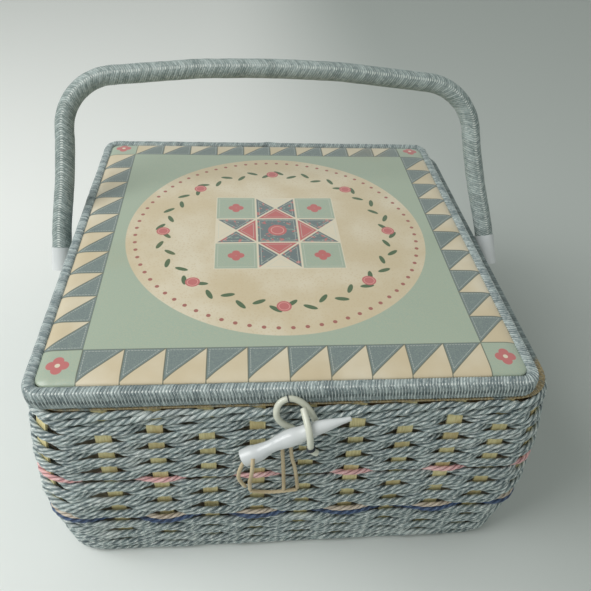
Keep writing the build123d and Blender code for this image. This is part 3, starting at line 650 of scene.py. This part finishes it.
# The rim: three cords laid round each other, and the cane under the lid.
rim = {
    "strands": 3, "middleZ": 0.1421, "strandPeriod": 3 * 0.029, "rise": 0.0038, "swing": 0.0010,
    "cordDiameter": 0.0039, "half": 0.1526, "corner": 0.0238, "inset": 0.0004, "step": 0.0012,
    "sway": 0.0003, "caneOuter": 0.1511, "caneInner": 0.1366, "caneFoot": 0.1479, "caneTop": 0.1493,
    "caneCorner": 0.0172, "caneWidth": 0.0022, "caneRidge": 0.00018, "caneFront": 0.0016,
}
half, corner = rim["half"] - rim["cordDiameter"] / 2, rim["corner"] - rim["cordDiameter"] / 2
s, length, place, outward = evenLap(half, corner, rim["step"])
laps = round(length / rim["strandPeriod"])
made = []
for strandNumber in range(rim["strands"]):
    # Height and depth follow a sine and a cosine, a third of a wave apart from cord to cord.
    phase = 2 * np.pi * (laps * s / length + strandNumber / rim["strands"])
    offset = rim["swing"] * np.cos(phase) - rim["inset"]
    height = rim["middleZ"] + rim["rise"] * np.sin(phase) + ripple(s / length, 40, rim["sway"])
    made.append(basketCord(f"rimCord{strandNumber}", place + outward * offset[:, None], outward, height,
                           rim["cordDiameter"], greyCord, number))
    number += 1
settle(joined("rimTwist", made), "basket", "cord", "rim_cords")
print("rim cords")

perWrap = 4  # rows of the mesh in each wrap of a plaited or wrapped edge


def wrappedRing(name, half, corner, sectionX, sectionZ, ridge, pitch, shifts, centre, paint,
                lump=None, frontIn=0.0, sideIn=0.0):
    # A flat profile carried round the square. Ridges of one wrap each run across it, and each point
    # of the profile is moved along the path by its own shift, so that the wraps lie at a slant.
    length = lapLength(half, corner)
    wraps = round(length / pitch)
    s = np.arange(wraps * perWrap) * length / (wraps * perWrap)
    spread = crests(len(s), perWrap) * ridge
    spread = spread * (1 + ripple(s / length, 120, 0.25)) + ripple(s / length, 60, ridge * 0.25)
    slope = np.stack([np.gradient(sectionZ), -np.gradient(sectionX)], -1)
    slope = unit(slope * np.sign(np.sum(slope[:, 0] * sectionX + slope[:, 1] * sectionZ)))
    place, outward = squareLap(s[:, None] + shifts[None], half, corner)
    out = sectionX[None] + spread[:, None] * slope[None, :, 0]
    rise = sectionZ[None] + spread[:, None] * slope[None, :, 1]
    out = out - frontIn * np.clip(-outward[..., 1], 0, 1) ** 4 - sideIn * outward[..., 0] ** 4
    if lump:
        near = np.exp(-((s - lump["at"] * length) / lump["width"]) ** 2)[:, None]
        out = out + lump["out"] * near
    grid = raised(place + outward * out[..., None] + np.array(centre)[:2], centre[2] + rise)
    return surface(name, grid, paint, along=s, loopU=True, loopV=True)


def ringPaint(name, colour, shade, gleam, pitch, seam=0.0, tan=False, stitched=False):
    # Wrapped or plaited strands: painted shade in the joints between them, painted highlights on the
    # crests, and the palest painted highlights on the row of bends along the seam, which is a share of the
    # way round the section. The crests are the size of a cosine along the path.
    paint = Paint(name, Roughness=0.5, Specular_IOR_Level=0.45)
    x, y, z = paint.place()
    u, v = paint.along()
    turn = u * (1 / pitch)
    crest = abs((turn * math.pi).cos())
    fine = abs((turn * (2 * math.pi)).cos())  # two strands in each wrap
    strandTone = paint.fibres((turn + 0.5).whole() * 5.3, v * 2.0, 1.0)
    fibre = paint.fibres(u * 2600.0, v * 14.0)
    body = paint.mix(strandTone.ramp(0.35, 0.65), shade, colour)
    if tan:  # bare cane shows along the front and at the front right corner
        broken = paint.noise(paint.point(x, y, z), 70.0, 3.0).ramp(0.38, 0.5)
        bare = ((-y).ramp(0.1440, 0.1450) * broken).most((x - y).ramp(0.266, 0.274))
        body = paint.mix(bare, body, paint.mix(fibre.ramp(0.3, 0.7), "86714a", "bfa978"))
    speck = paint.noise(paint.point(x, y, z), 520.0, 2.0)
    # Painted highlights on the fibres of the strand crests.
    lit = paint.mix((fibre * fine).ramp(0.28, 0.6) * (0.3 if tan else 0.75), body, gleam)
    lit = paint.mix(speck.ramp(0.54, 0.64) * 0.6, lit, shade)
    if seam:
        # Painted highlights along the seam, where the wraps bend over.
        bend = abs(v - seam).fade(0.012, 0.032) * crest.ramp(0.45, 0.9)
        lit = paint.mix(bend * fibre.ramp(0.35, 0.6) * 0.8, lit, "eef2ec")
    if stitched:  # half way down the outer face the strands turn under, and the gaps there are painted shade
        row = v.least(1.0 - v).fade(0.008, 0.030)
        lit = paint.mix(row * crest.fade(0.45, 0.9) * 0.8, lit, "2e3a3b")
        # Painted shade between the strands in a band just below the middle of the outer face.
        lower = v.ramp(0.80, 0.84) * v.ramp(0.90, 1.0) * fine.fade(0.2, 0.7)
        lit = paint.mix(lower * 0.45, lit, "3c494a")
    # Painted shade in the joints between the wraps: the colour there is mixed half to near black.
    awayFromPaintedShade = crest.ramp(0.0, 0.36).least(fine.ramp(-0.4, 0.4))
    paint.feed("Base Color", paint.mix(awayFromPaintedShade, paint.mix(0.5, body, "222c2e"), lit))
    paint.relief(fibre * 0.6 + fine * 0.4, 0.3 * mm)
    return paint


angle = np.linspace(0, 2 * np.pi, 24, endpoint=False)


def powered(values, power):  # each number's size to a power, with its sign kept
    return np.sign(values) * np.abs(values) ** power


def softBox(width, height, power=0.55):  # superellipse: x and z follow a power of cosine and sine
    return width / 2 * powered(np.cos(angle), power), height / 2 * powered(np.sin(angle), power)


caneX, caneZ = softBox(rim["caneOuter"] - rim["caneInner"], rim["caneTop"] - rim["caneFoot"])
caneWrap = ringPaint("caneWrap", "8d9b9a", "5d6b6c", "d3dad4", rim["caneWidth"], tan=True)
rimCane = wrappedRing("rimCane", (rim["caneOuter"] + rim["caneInner"]) / 2, rim["caneCorner"], caneX,
                      caneZ, rim["caneRidge"], rim["caneWidth"], np.zeros(len(angle)),
                      (0.0, 0.0, (rim["caneTop"] + rim["caneFoot"]) / 2), caneWrap,
                      frontIn=rim["caneFront"])
settle(rimCane, "basket", "cane", "rim_binding")
dress(cane, "stakes")
dress(board, "rim_hoop", "base_board", "lid_frame", "lid_board")
print("rim")

foot = {"half": 0.1552, "corner": 0.0302, "z": 0.0026, "diameter": 0.0038, "sway": 0.0001}
half, corner = foot["half"] - foot["diameter"] / 2, foot["corner"] - foot["diameter"] / 2
s, length, place, outward = evenLap(half, corner, wall["step"])
footCord = basketCord("footCord", place, outward, foot["z"] + ripple(s / length, 30, foot["sway"]),
                      foot["diameter"], greyCord, 0, puff=0.0)
settle(footCord, "basket", "cord", "foot_border")

lid = {
    "centre": (-0.005, -0.004), "foot": 0.1496, "braidHeight": 0.0128, "braidOut": 0.1462,
    "braidIn": 0.1388, "braidCorner": 0.0094, "braidWidthShare": 0.94, "braidHeightShare": 0.96,
    "sideIn": 0.0013, "wrap": 0.0018, "ridge": 0.00040, "slant": 0.7, "chevron": 1.0,
    "lump": {"at": 0.5, "width": 0.006, "out": 0.0018},  # where the braid's ends meet at the back
    "panelHalf": 0.1386, "panelCorner": 0.0068, "panelFoot": 0.1553,
}
topEdge = 0.36 * np.pi  # where the wraps turn over from the outer face to the top
braidGrey = ringPaint("braidGrey", "a9b7b6", "6b7b7e", "f2f6f2", lid["wrap"], seam=topEdge / (2 * np.pi),
                      stitched=True)
edgeX, edgeZ = softBox(lid["braidOut"] - lid["braidIn"], lid["braidHeight"])
fromTop = np.angle(np.exp(1j * (angle - topEdge)))
shifts = lid["wrap"] * np.where(fromTop < 0, lid["slant"] * -fromTop, lid["chevron"] * fromTop)
lidBraid = wrappedRing("lidBraid", (lid["braidOut"] + lid["braidIn"]) / 2, lid["braidCorner"],
                       edgeX * lid["braidWidthShare"], edgeZ * lid["braidHeightShare"], lid["ridge"],
                       lid["wrap"], shifts, (*lid["centre"], lid["foot"] + lid["braidHeight"] / 2),
                       braidGrey, lump=lid["lump"], sideIn=lid["sideIn"])
settle(lidBraid, "lid", "braid", "lid_braid")
print("lid edging")

# Printed vinyl over padding. The sag and the puckers of the edge are shares of the dimple.
top = {
    "rings": 70, "underRings": 8, "sideRings": 3, "crowding": 1.7, "around": 560, "edgeSpan": 0.0085,
    "crown": 0.0017, "edgeZ": 0.1603, "shoulder": 0.0024, "dimple": 0.00016, "puckers": 96,
    "puckerSpan": 0.006, "pinhole": 0.0004,
}


def vinylTop():
    # Rings from the middle of the underside, out to the edge, up, and in to the middle of the top.
    # Height over the edge rises as a quarter ellipse, then as a shallow parabola to the middle.
    under, side = top["underRings"] + 1, top["sideRings"]
    inward = np.concatenate([[1.0], np.linspace(0.98, 0.0, under - 1), np.zeros(side),
                             np.linspace(0, 1, top["rings"]) ** top["crowding"] * 0.996])
    half = lid["panelHalf"] * (1 - inward)
    depth = lid["panelHalf"] - half
    rise = np.sqrt(1 - np.clip(1 - depth / top["edgeSpan"], 0, 1) ** 2)
    z = top["edgeZ"] + top["shoulder"] * rise + top["crown"] * (1 - (1 - inward) ** 2)
    z[:under] = lid["panelFoot"]
    z[under:under + side] = np.linspace(lid["panelFoot"] + 0.0008, top["edgeZ"] - 0.0004, side)
    half[0] = half[-1] = top["pinhole"]
    corner = np.clip(lid["panelCorner"] - depth * 0.4, 0.0001, None)
    corner = np.minimum(corner, half * 0.9)
    place, _ = nestedLaps(half, corner, top["around"])
    x, y = place[..., 0], place[..., 1]
    soft = ((np.arange(len(z)) > under + side) * rise)[:, None]
    sag = np.sin(x * 61 + 1.1) * np.cos(y * 47 + 0.4) + 0.6 * np.sin(x * 23 - y * 31)
    share = np.arange(top["around"]) / top["around"]
    pucker = np.sin(share * 2 * np.pi * top["puckers"]) * np.exp(-depth[:, None] / top["puckerSpan"])
    lift = soft * top["dimple"] * (sag + 0.5 * pucker)
    return raised(place + np.array(lid["centre"]), z[:, None] + lift)


def printedVinyl():
    # Patchwork print in millimetres from the middle of the lid: a sawtooth border of half-square
    # triangles, a round medallion with a ring of dots, a wreath and a star block.
    tones = {"sage": "a2b2a0", "cream": "cfbf9f", "slate": "6f7b7c", "rose": "c06f6d", "leaf": "52684a",
             "ink": "5f6557", "pale": "ddd3bc", "stain": "ad956a"}
    pattern = {"half": 116.0, "cell": 23.2, "disc": 107.6, "dotRing": 101.2, "dots": 72, "dotSize": 1.4,
               "starCell": 30.0, "wreath": 82.0, "leaves": 48, "leafLong": 5.0, "leafWide": 1.8,
               "leafOut": 2.6, "leafSlant": (0.82, 0.57), "buds": 8, "budSize": 4.9,
               "shift": (5.0, 2.0), "soft": 0.3}
    half, cell, starCell, soft = [pattern[key] for key in ("half", "cell", "starCell", "soft")]
    diagonal = 0.7071  # distance from a diagonal line, for a difference of one across it
    paint = Paint("printedVinyl", Coat_Weight=0.45, Coat_Roughness=0.2, Specular_IOR_Level=0.45)
    px, py, pz = paint.place()
    x, y = px * 1000.0 + pattern["shift"][0], py * 1000.0 + pattern["shift"][1]
    ax, ay = abs(x), abs(y)
    at = paint.point(px, py, pz)
    cloudy = paint.noise(at, 22.0, 4.0)
    fine = paint.noise(at, 1500.0, 1.0)
    dotsPrint = paint.cells(at, 520.0)
    away = (x ** 2 + y ** 2) ** 0.5
    bearing = paint.maths("ARCTAN2", y, x)

    def flower(u, v, spread, size):  # four round petals about a point, 1 inside them
        petal = ((u - spread) ** 2 + v ** 2).least(u ** 2 + (v - spread) ** 2) ** 0.5
        return petal.fade(size - soft, size)

    def around(count, ring, offset):
        # Steps along a ring, counted from offset, and how far along it from the middle of a step.
        turn = bearing * (count / (2 * math.pi)) + offset
        return turn, (turn.fraction() - 0.5) * (2 * math.pi * ring / count)

    # Border cells: the front row counts from the left and the back row from the right.
    far = ax.most(ay)
    onRow = ay > half
    alongRow = (x * (-y.sign()) + half) * (1 / cell)
    alongSide = (y * (-x.sign()) + half) * (1 / cell)
    count = onRow * alongRow + (1.0 - onRow) * alongSide
    u = count.fraction()
    v = (half + cell - far) * (1 / cell)
    toSide = u.least(1.0 - u).least(abs(1.0 - v)) * cell
    toEdge = (abs(v - u) * (cell * diagonal)).least(toSide)
    dark = v > u
    slate = paint.mix((paint.cells(at, 300.0) < 0.16) * 0.5, tones["slate"], tones["pale"])
    cream = paint.mix(cloudy.ramp(0.35, 0.75), tones["cream"], tones["pale"])
    sage = paint.mix(fine.ramp(0.35, 0.7) * 0.2, tones["sage"], tones["cream"])
    teeth = paint.mix(dark, cream, paint.mix(fine.ramp(0.3, 0.8) * 0.35, tones["slate"], tones["sage"]))
    stitches = ((x + y) * 0.55).fraction().ramp(0.25, 0.35)
    stitchLine = abs(toEdge - 1.5).fade(0.08, 0.26) * stitches
    teeth = paint.mix(stitchLine * (0.15 + 0.35 * dark), teeth, paint.mix(dark, "b9a98b", "dfe2d6"))
    teeth = paint.mix(toEdge.fade(0.2, 0.5) * 0.85, teeth, tones["ink"])
    # Corner squares with a four-petal flower.
    cx, cy = abs(ax - (half + cell / 2)), abs(ay - (half + cell / 2))
    square = paint.mix(flower(cx, cy, 3.3, 3.2), sage, tones["rose"])
    square = paint.mix(((cx ** 2 + cy ** 2) ** 0.5).fade(1.3, 1.6), square, tones["pale"])
    nearer = ax.least(ay)
    square = paint.mix(abs(nearer - half).fade(0.2, 0.5) * 0.85, square, tones["ink"])
    border = paint.mix(nearer > half, teeth, square)
    # Medallion with a ring of dots.
    disc = paint.mix((dotsPrint < 0.32) * 0.35, cream, "c9b48f")
    field = paint.mix(away.fade(pattern["disc"] - soft, pattern["disc"] + soft), sage, disc)
    _, dotAlong = around(pattern["dots"], pattern["dotRing"], 200.0)
    dot = (dotAlong ** 2 + (away - pattern["dotRing"]) ** 2) ** 0.5
    field = paint.mix(dot.fade(pattern["dotSize"] - 0.25, pattern["dotSize"] + 0.25), field, "a3675d")
    # Wreath: slanted leaves by turns outside and inside a ring, and round buds.
    leafTurn, leafX = around(pattern["leaves"], pattern["wreath"], 240.0)
    leafSide = ((leafTurn * 0.5).fraction() > 0.49) * 2.0 - 1.0
    leafY = (away - pattern["wreath"] - leafSide * pattern["leafOut"]) * leafSide
    turnCos, turnSin = pattern["leafSlant"]
    long, wide = leafX * turnCos + leafY * turnSin, leafY * turnCos - leafX * turnSin
    leaf = ((long * (1 / pattern["leafLong"])) ** 2 + (wide * (1 / pattern["leafWide"])) ** 2) ** 0.5
    field = paint.mix(leaf.fade(0.85, 1.0), field, tones["leaf"])
    _, budX = around(pattern["buds"], pattern["wreath"], 40.5)
    bud = (budX ** 2 + (away - pattern["wreath"]) ** 2) ** 0.5
    field = paint.mix(bud.fade(pattern["budSize"] - soft, pattern["budSize"]), field, tones["rose"])
    field = paint.mix(abs(bud - 3.4).fade(0.12, 0.4), field, "d99a92")
    # Star block: a centre square, four cells of quarter triangles, and four corner squares.
    p, q = ax * (1 / starCell), ay * (1 / starCell)
    outer, aside = p.most(q), p.least(q)
    centre = outer < 0.5
    outCell = aside > 0.5
    reachOut = abs(outer - 1.0)
    point = aside > reachOut
    posy = paint.mix(paint.noise(at, 260.0, 1.0).ramp(0.6, 0.66) * 0.9, slate, tones["rose"])
    posy = paint.mix(paint.noise(at, 330.0, 2.0).ramp(0.62, 0.68) * 0.8, posy, "8fa596")
    block = paint.mix(point, tones["pale"], posy)
    block = paint.mix((outer < 1.0) * (1.0 - point), block, tones["rose"])
    block = paint.mix(centre, block, posy)
    block = paint.mix(outCell, block, sage)
    toJoint = abs(p - 0.5).least(abs(q - 0.5)).least(abs(outer - 1.5)) * starCell
    toSlant = (abs(aside - reachOut) + 10.0 * outCell.most(centre)) * (starCell * diagonal)
    toJoint = toJoint.least(toSlant)
    block = paint.mix(toJoint.fade(0.5, 0.9), block, tones["pale"])
    block = paint.mix(abs(toJoint - 2.4).fade(0.1, 0.35) * 0.6, block, "c9cdbf")
    blossom = flower(abs(p - 1.0) * starCell, abs(q - 1.0) * starCell, 3.0, 2.9)
    block = paint.mix(blossom, block, tones["rose"])
    block = paint.mix(away.fade(6.6, 7.0), block, tones["rose"])
    block = paint.mix(abs(away - 4.6).fade(0.15, 0.5), block, "dca49b")
    field = paint.mix(outer < 1.5, field, block)
    whole = paint.mix(far.ramp(half - 0.2, half + 0.2), field, border)
    # Age: faint stains.
    whole = paint.mix(paint.noise(at, 9.0, 5.0).ramp(0.56, 0.78) * 0.3, whole, tones["stain"])
    paint.feed("Base Color", whole)
    paint.feed("Roughness", cloudy.ramp(0.3, 0.8) * 0.12 + 0.34)
    paint.relief(fine * 0.6 + dotsPrint * 0.4, 0.05 * mm)
    return paint


lidTop = surface("lidTop", vinylTop(), printedVinyl(), loopV=True, caps=True)
settle(lidTop, "lid", "printed_vinyl", "lid_padding", "lid_cover")
print("lid top")

handle = {
    "pivotZ": 0.120, "tilt": 32.0, "diameter": 0.0134, "inset": 0.0002, "lean": 0.055,
    "sockets": (0.013, 0.020),  # where the sleeve starts in the end caps, on the left and the right
    "legs": [(0.1660, 0.0), (0.1625, 0.038), (0.1565, 0.072), (0.1532, 0.100), (0.1510, 0.144),
             (0.052, 0.1532)],
    "radii": [0.20, 0.20, 0.20, 0.039, 0.20], "crown": 0.1546, "crownRadius": 0.80, "step": 0.0005,
    "wrap": 0.0017, "ridge": 0.00036, "seam": 0.235, "chevron": 2.2, "around": 32, "wayOver": 0.003,
}


def bailLine():
    # The bail in its own plane: straight runs joined by arcs that touch both runs of each corner.
    foot, knee = handle["legs"][:2]
    left, right = [(foot[0] + (knee[0] - foot[0]) * s / knee[1], s) for s in handle["sockets"]]
    over = [(0.0, handle["crown"])] + [(-h, s) for h, s in handle["legs"][:0:-1]]
    corners = np.array([right] + handle["legs"][1:] + over + [(-left[0], left[1])])
    corners[:, 0] -= handle["lean"] * corners[:, 1]
    radii = handle["radii"] + [handle["crownRadius"]] + handle["radii"][::-1]
    parts = [corners[:1]]
    for before, here, after, radius in zip(corners, corners[1:], corners[2:], radii):
        a, b = unit(before - here), unit(after - here)
        half = math.acos(np.clip(a @ b, -1, 1)) / 2  # half the angle between the runs
        back = radius / math.tan(half)
        centre = here + unit(a + b) * radius / math.sin(half)
        first, last = here + a * back - centre, here + b * back - centre
        sweep = math.pi - 2 * half
        share = np.linspace(0, 1, max(int(sweep * radius / handle["step"]), 4))[:, None]
        parts.append(centre + (np.sin((1 - share) * sweep) * first + np.sin(share * sweep) * last)
                     / math.sin(sweep))
    parts.append(corners[-1:])
    flat = np.concatenate(parts)
    return flat, distances(flat)


def handleSleeve():
    # A round tube along the bail. Ridges cross it and meet in two lines of chevrons.
    flat, gone = bailLine()
    wraps = round(gone[-1] / handle["wrap"])
    s = np.arange(wraps * perWrap + 1) * gone[-1] / (wraps * perWrap)
    turn = circle(handle["around"])
    fold = np.abs(np.angle(np.exp(1j * (turn - handle["seam"] * 2 * np.pi))))
    shift = handle["wrap"] * handle["chevron"] * (fold - np.pi / 2)
    spot = np.clip(s[:, None] + shift[None], 0, gone[-1])

    def onBail(offset):  # x and height on the bail's line, an offset past each point of the mesh
        at = np.clip(spot + offset, 0, gone[-1])
        return np.interp(at, gone, flat[:, 0]), np.interp(at, gone, flat[:, 1])

    x, up = onBail(0.0)
    (aheadX, aheadUp), (behindX, behindUp) = onBail(handle["wayOver"]), onBail(-handle["wayOver"])
    wayX, wayUp = aheadX - behindX, aheadUp - behindUp
    size = np.hypot(wayX, wayUp)
    ridge = handle["ridge"] * (crests(len(s), perWrap) + ripple(s / gone[-1], 60, 0.3))
    radius = handle["diameter"] / 2 - handle["inset"] + ridge[:, None]
    x = x + wayUp / size * radius * np.cos(turn)
    up = up - wayX / size * radius * np.cos(turn)
    level = radius * np.sin(turn)
    tilt = math.radians(handle["tilt"])
    return np.stack([x, up * math.sin(tilt) - level * math.cos(tilt),
                     handle["pivotZ"] + up * math.cos(tilt) + level * math.sin(tilt)], -1), s


handleGrid, handleReach = handleSleeve()
sleevePaint = ringPaint("sleeveGrey", "9fadab", "6f7f7d", "e6ece6", handle["wrap"], seam=handle["seam"])
sleeve = surface("handleSleeve", handleGrid, sleevePaint, along=handleReach, loopV=True, caps=True)
settle(sleeve, "handle", "braid", "handle_wrap")
dress(bentCane, "handle_core")
dress(paleHorn, "ferrule_left", "ferrule_right")
dress(rivetMetal, "handle_rivet_left", "handle_rivet_right", "rivet_washers")
dress(vinylCord, "hinge_ring_left", "hinge_ring_right")
dress(darkThread, "loop_tie")
dress(trayPlastic, "tray_shell", "tray_dividers")
print("handle")

# Quilted lining. Lengths in metres; card is the stiff layer behind the cloth.
lining = {
    "quilt": 0.024, "puff": 0.0016, "foot": 0.0047, "top": 0.1382, "back": 0.0095, "card": 0.0022,
    "rows": 46, "steps": 380, "middleRow": 20, "leastCorner": 0.004,
    "cotton": ("d8cbb2", "c6b79c", "b7787a"),  # colour, shade and sprigs
    "pinCotton": ("c2898a", "a96f72", "e3cdb8"),
}
pad = {"rings": 44, "underRings": 6, "around": 320, "crowding": 0.9, "corner": 0.012,
       "edgeSpan": 0.004, "flatShare": 0.75, "pinhole": 0.0003}


def clothPaint(name, colour, shade, sprig):
    # Printed cotton: fine weave, small scattered sprigs.
    paint = Paint(name, Roughness=0.85, Sheen_Weight=0.2)
    at = paint.point(*paint.place())
    spots = paint.cells(at, 120.0)
    patch = paint.noise(at, 25.0, 3.0)
    weave = paint.noise(at, 1600.0, 1.0)
    body = paint.mix(patch.ramp(0.3, 0.7), shade, colour)
    paint.feed("Base Color", paint.mix((spots < 0.17) * 0.8, body, sprig))
    paint.relief(weave, 0.08 * mm)
    return paint


liningCloth = clothPaint("liningCloth", *lining["cotton"])


def quilt(a, b):  # soft diamonds: product of two slanted sines, square-rooted to flatten the tops
    wave = np.abs(np.sin(np.pi * (a + b) / lining["quilt"]) * np.sin(np.pi * (a - b) / lining["quilt"]))
    return wave ** 0.5


def wallLining():
    # The inner face follows the wall's bulge, lifted by the quilting; the outer face is plain.
    heights = np.linspace(lining["foot"], lining["top"], lining["rows"])
    half = halfAt(heights) - lining["back"]
    corner = np.maximum(cornerAt(heights) - lining["back"], lining["leastCorner"])
    place, outward = nestedLaps(half, corner, lining["steps"])
    middle = lining["middleRow"]
    across = lapLength(half[middle], corner[middle]) * np.arange(lining["steps"])[None] / lining["steps"]
    puff = lining["puff"] * quilt(across, heights[:, None])
    z = np.broadcast_to(heights[:, None], puff.shape)
    inner = raised(place - outward * (lining["card"] + puff)[..., None], z)
    return np.concatenate([raised(place, z), inner[::-1]], 0)


liningPiece = surface("quiltedLining", wallLining(), liningCloth, loopU=True, loopV=True)
settle(liningPiece, "basket", "lining", "lining_front", "lining_right", "lining_back", "lining_left",
       "lining_corners")


def quiltedPad(name, half, foot, thick, centre, faceUp):
    # A flat quilted pad: both faces pinch together at the rim, and the visible face is puffed.
    inward = np.concatenate([np.linspace(1, 0, pad["underRings"]),
                             np.linspace(0, 1, pad["rings"]) ** pad["crowding"]])
    width = half * (1 - inward)
    width[0] = width[-1] = pad["pinhole"]
    corner = np.minimum(pad["corner"], width * 0.9)
    place, _ = nestedLaps(width, corner, pad["around"])
    roll = np.sqrt(1 - np.clip(1 - (half - width) / pad["edgeSpan"], 0, 1) ** 2)
    face = np.arange(len(inward)) >= pad["underRings"]
    puffed = pad["flatShare"] + (1 - pad["flatShare"]) * quilt(place[..., 0], place[..., 1])
    lift = thick * puffed * (roll * face)[:, None]
    grid = raised(place + np.array(centre), foot + (lift if faceUp else -lift))
    return surface(name, grid, liningCloth, loopV=True, caps=True)


floorPad = quiltedPad("quiltedFloor", 0.1415, 0.0046, 0.0024, (0.0, 0.0), True)
settle(floorPad, "basket", "lining", "lining_floor")
lidPad = quiltedPad("quiltedLidLining", 0.1242, 0.1521, 0.0044, lid["centre"], False)
settle(lidPad, "lid", "lining", "lid_lining")
for node in ("tray_rail_left", "tray_rail_right"):
    dress(clothPaint(node + "_cloth", *lining["cotton"]), node)
print("lining and tray")

# A stuffed pad, blown up as cloth. Each power shapes one outline, lower for squarer.
pin = {"size": (0.088, 0.058, 0.010), "around": 48, "levels": 14, "planPower": 0.45, "ringPower": 0.5,
       "tallPower": 0.6, "pressure": 4.0, "frames": 20, "cap": 0.003, "voxel": 0.004}


def pincushion():
    low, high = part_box("pincushion")
    middle = np.array((low + high) / 2)
    turn = np.linspace(0, 2 * np.pi, pin["around"], endpoint=False)[::-1]
    level = np.linspace(-np.pi / 2, np.pi / 2, pin["levels"])
    # A superellipsoid: each side follows a power of cosine and sine.
    flat = powered(np.cos(turn), pin["planPower"])
    deep = powered(np.sin(turn), pin["planPower"])
    ring = np.abs(np.cos(level))[:, None] ** pin["ringPower"] + 0.001
    tall = powered(np.sin(level), pin["tallPower"])
    grid = np.stack([ring * flat * pin["size"][0] / 2, ring * deep * pin["size"][1] / 2,
                     np.broadcast_to(tall[:, None] * pin["size"][2] / 2, (len(level), len(turn)))], -1)
    piece = surface("pinPad", grid + middle, roseCloth, loopV=True, caps=True)
    bpy.context.view_layer.objects.active = piece
    piece.data.remesh_voxel_size = pin["voxel"]
    bpy.ops.object.voxel_remesh()
    rest = np.zeros(len(piece.data.vertices) * 3)
    piece.data.vertices.foreach_get("co", rest)
    puffing = piece.modifiers.new("puffing", "CLOTH")
    puffing.settings.use_pressure = True
    puffing.settings.uniform_pressure_force = pin["pressure"]
    puffing.settings.effector_weights.gravity = 0.0
    puffing.point_cache.frame_end = pin["frames"]
    for number in range(1, pin["frames"] + 1):
        bpy.context.scene.frame_set(number)
    shown = piece.evaluated_get(bpy.context.evaluated_depsgraph_get())
    blown = np.zeros(len(rest))
    shown.data.vertices.foreach_get("co", blown)
    move = (blown - rest).reshape(-1, 3)
    size = np.linalg.norm(move, axis=1, keepdims=True) + 1e-9
    move *= np.minimum(size, pin["cap"]) / size
    piece.modifiers.remove(puffing)
    bpy.context.scene.frame_set(1)
    spots = rest.reshape(-1, 3) + move
    spots[:, 2] = np.minimum(spots[:, 2], high.z - 0.0002)  # flat where it is sewn to the lid
    piece.data.vertices.foreach_set("co", spots.ravel())
    piece.data.shade_smooth()
    smooth = piece.modifiers.new("smooth", "SUBSURF")
    smooth.levels = smooth.render_levels = 1
    return piece


roseCloth = clothPaint("roseCloth", *lining["pinCotton"])
pinPad = pincushion()
settle(pinPad, "lid", "lining", "pincushion")
print("pincushion")
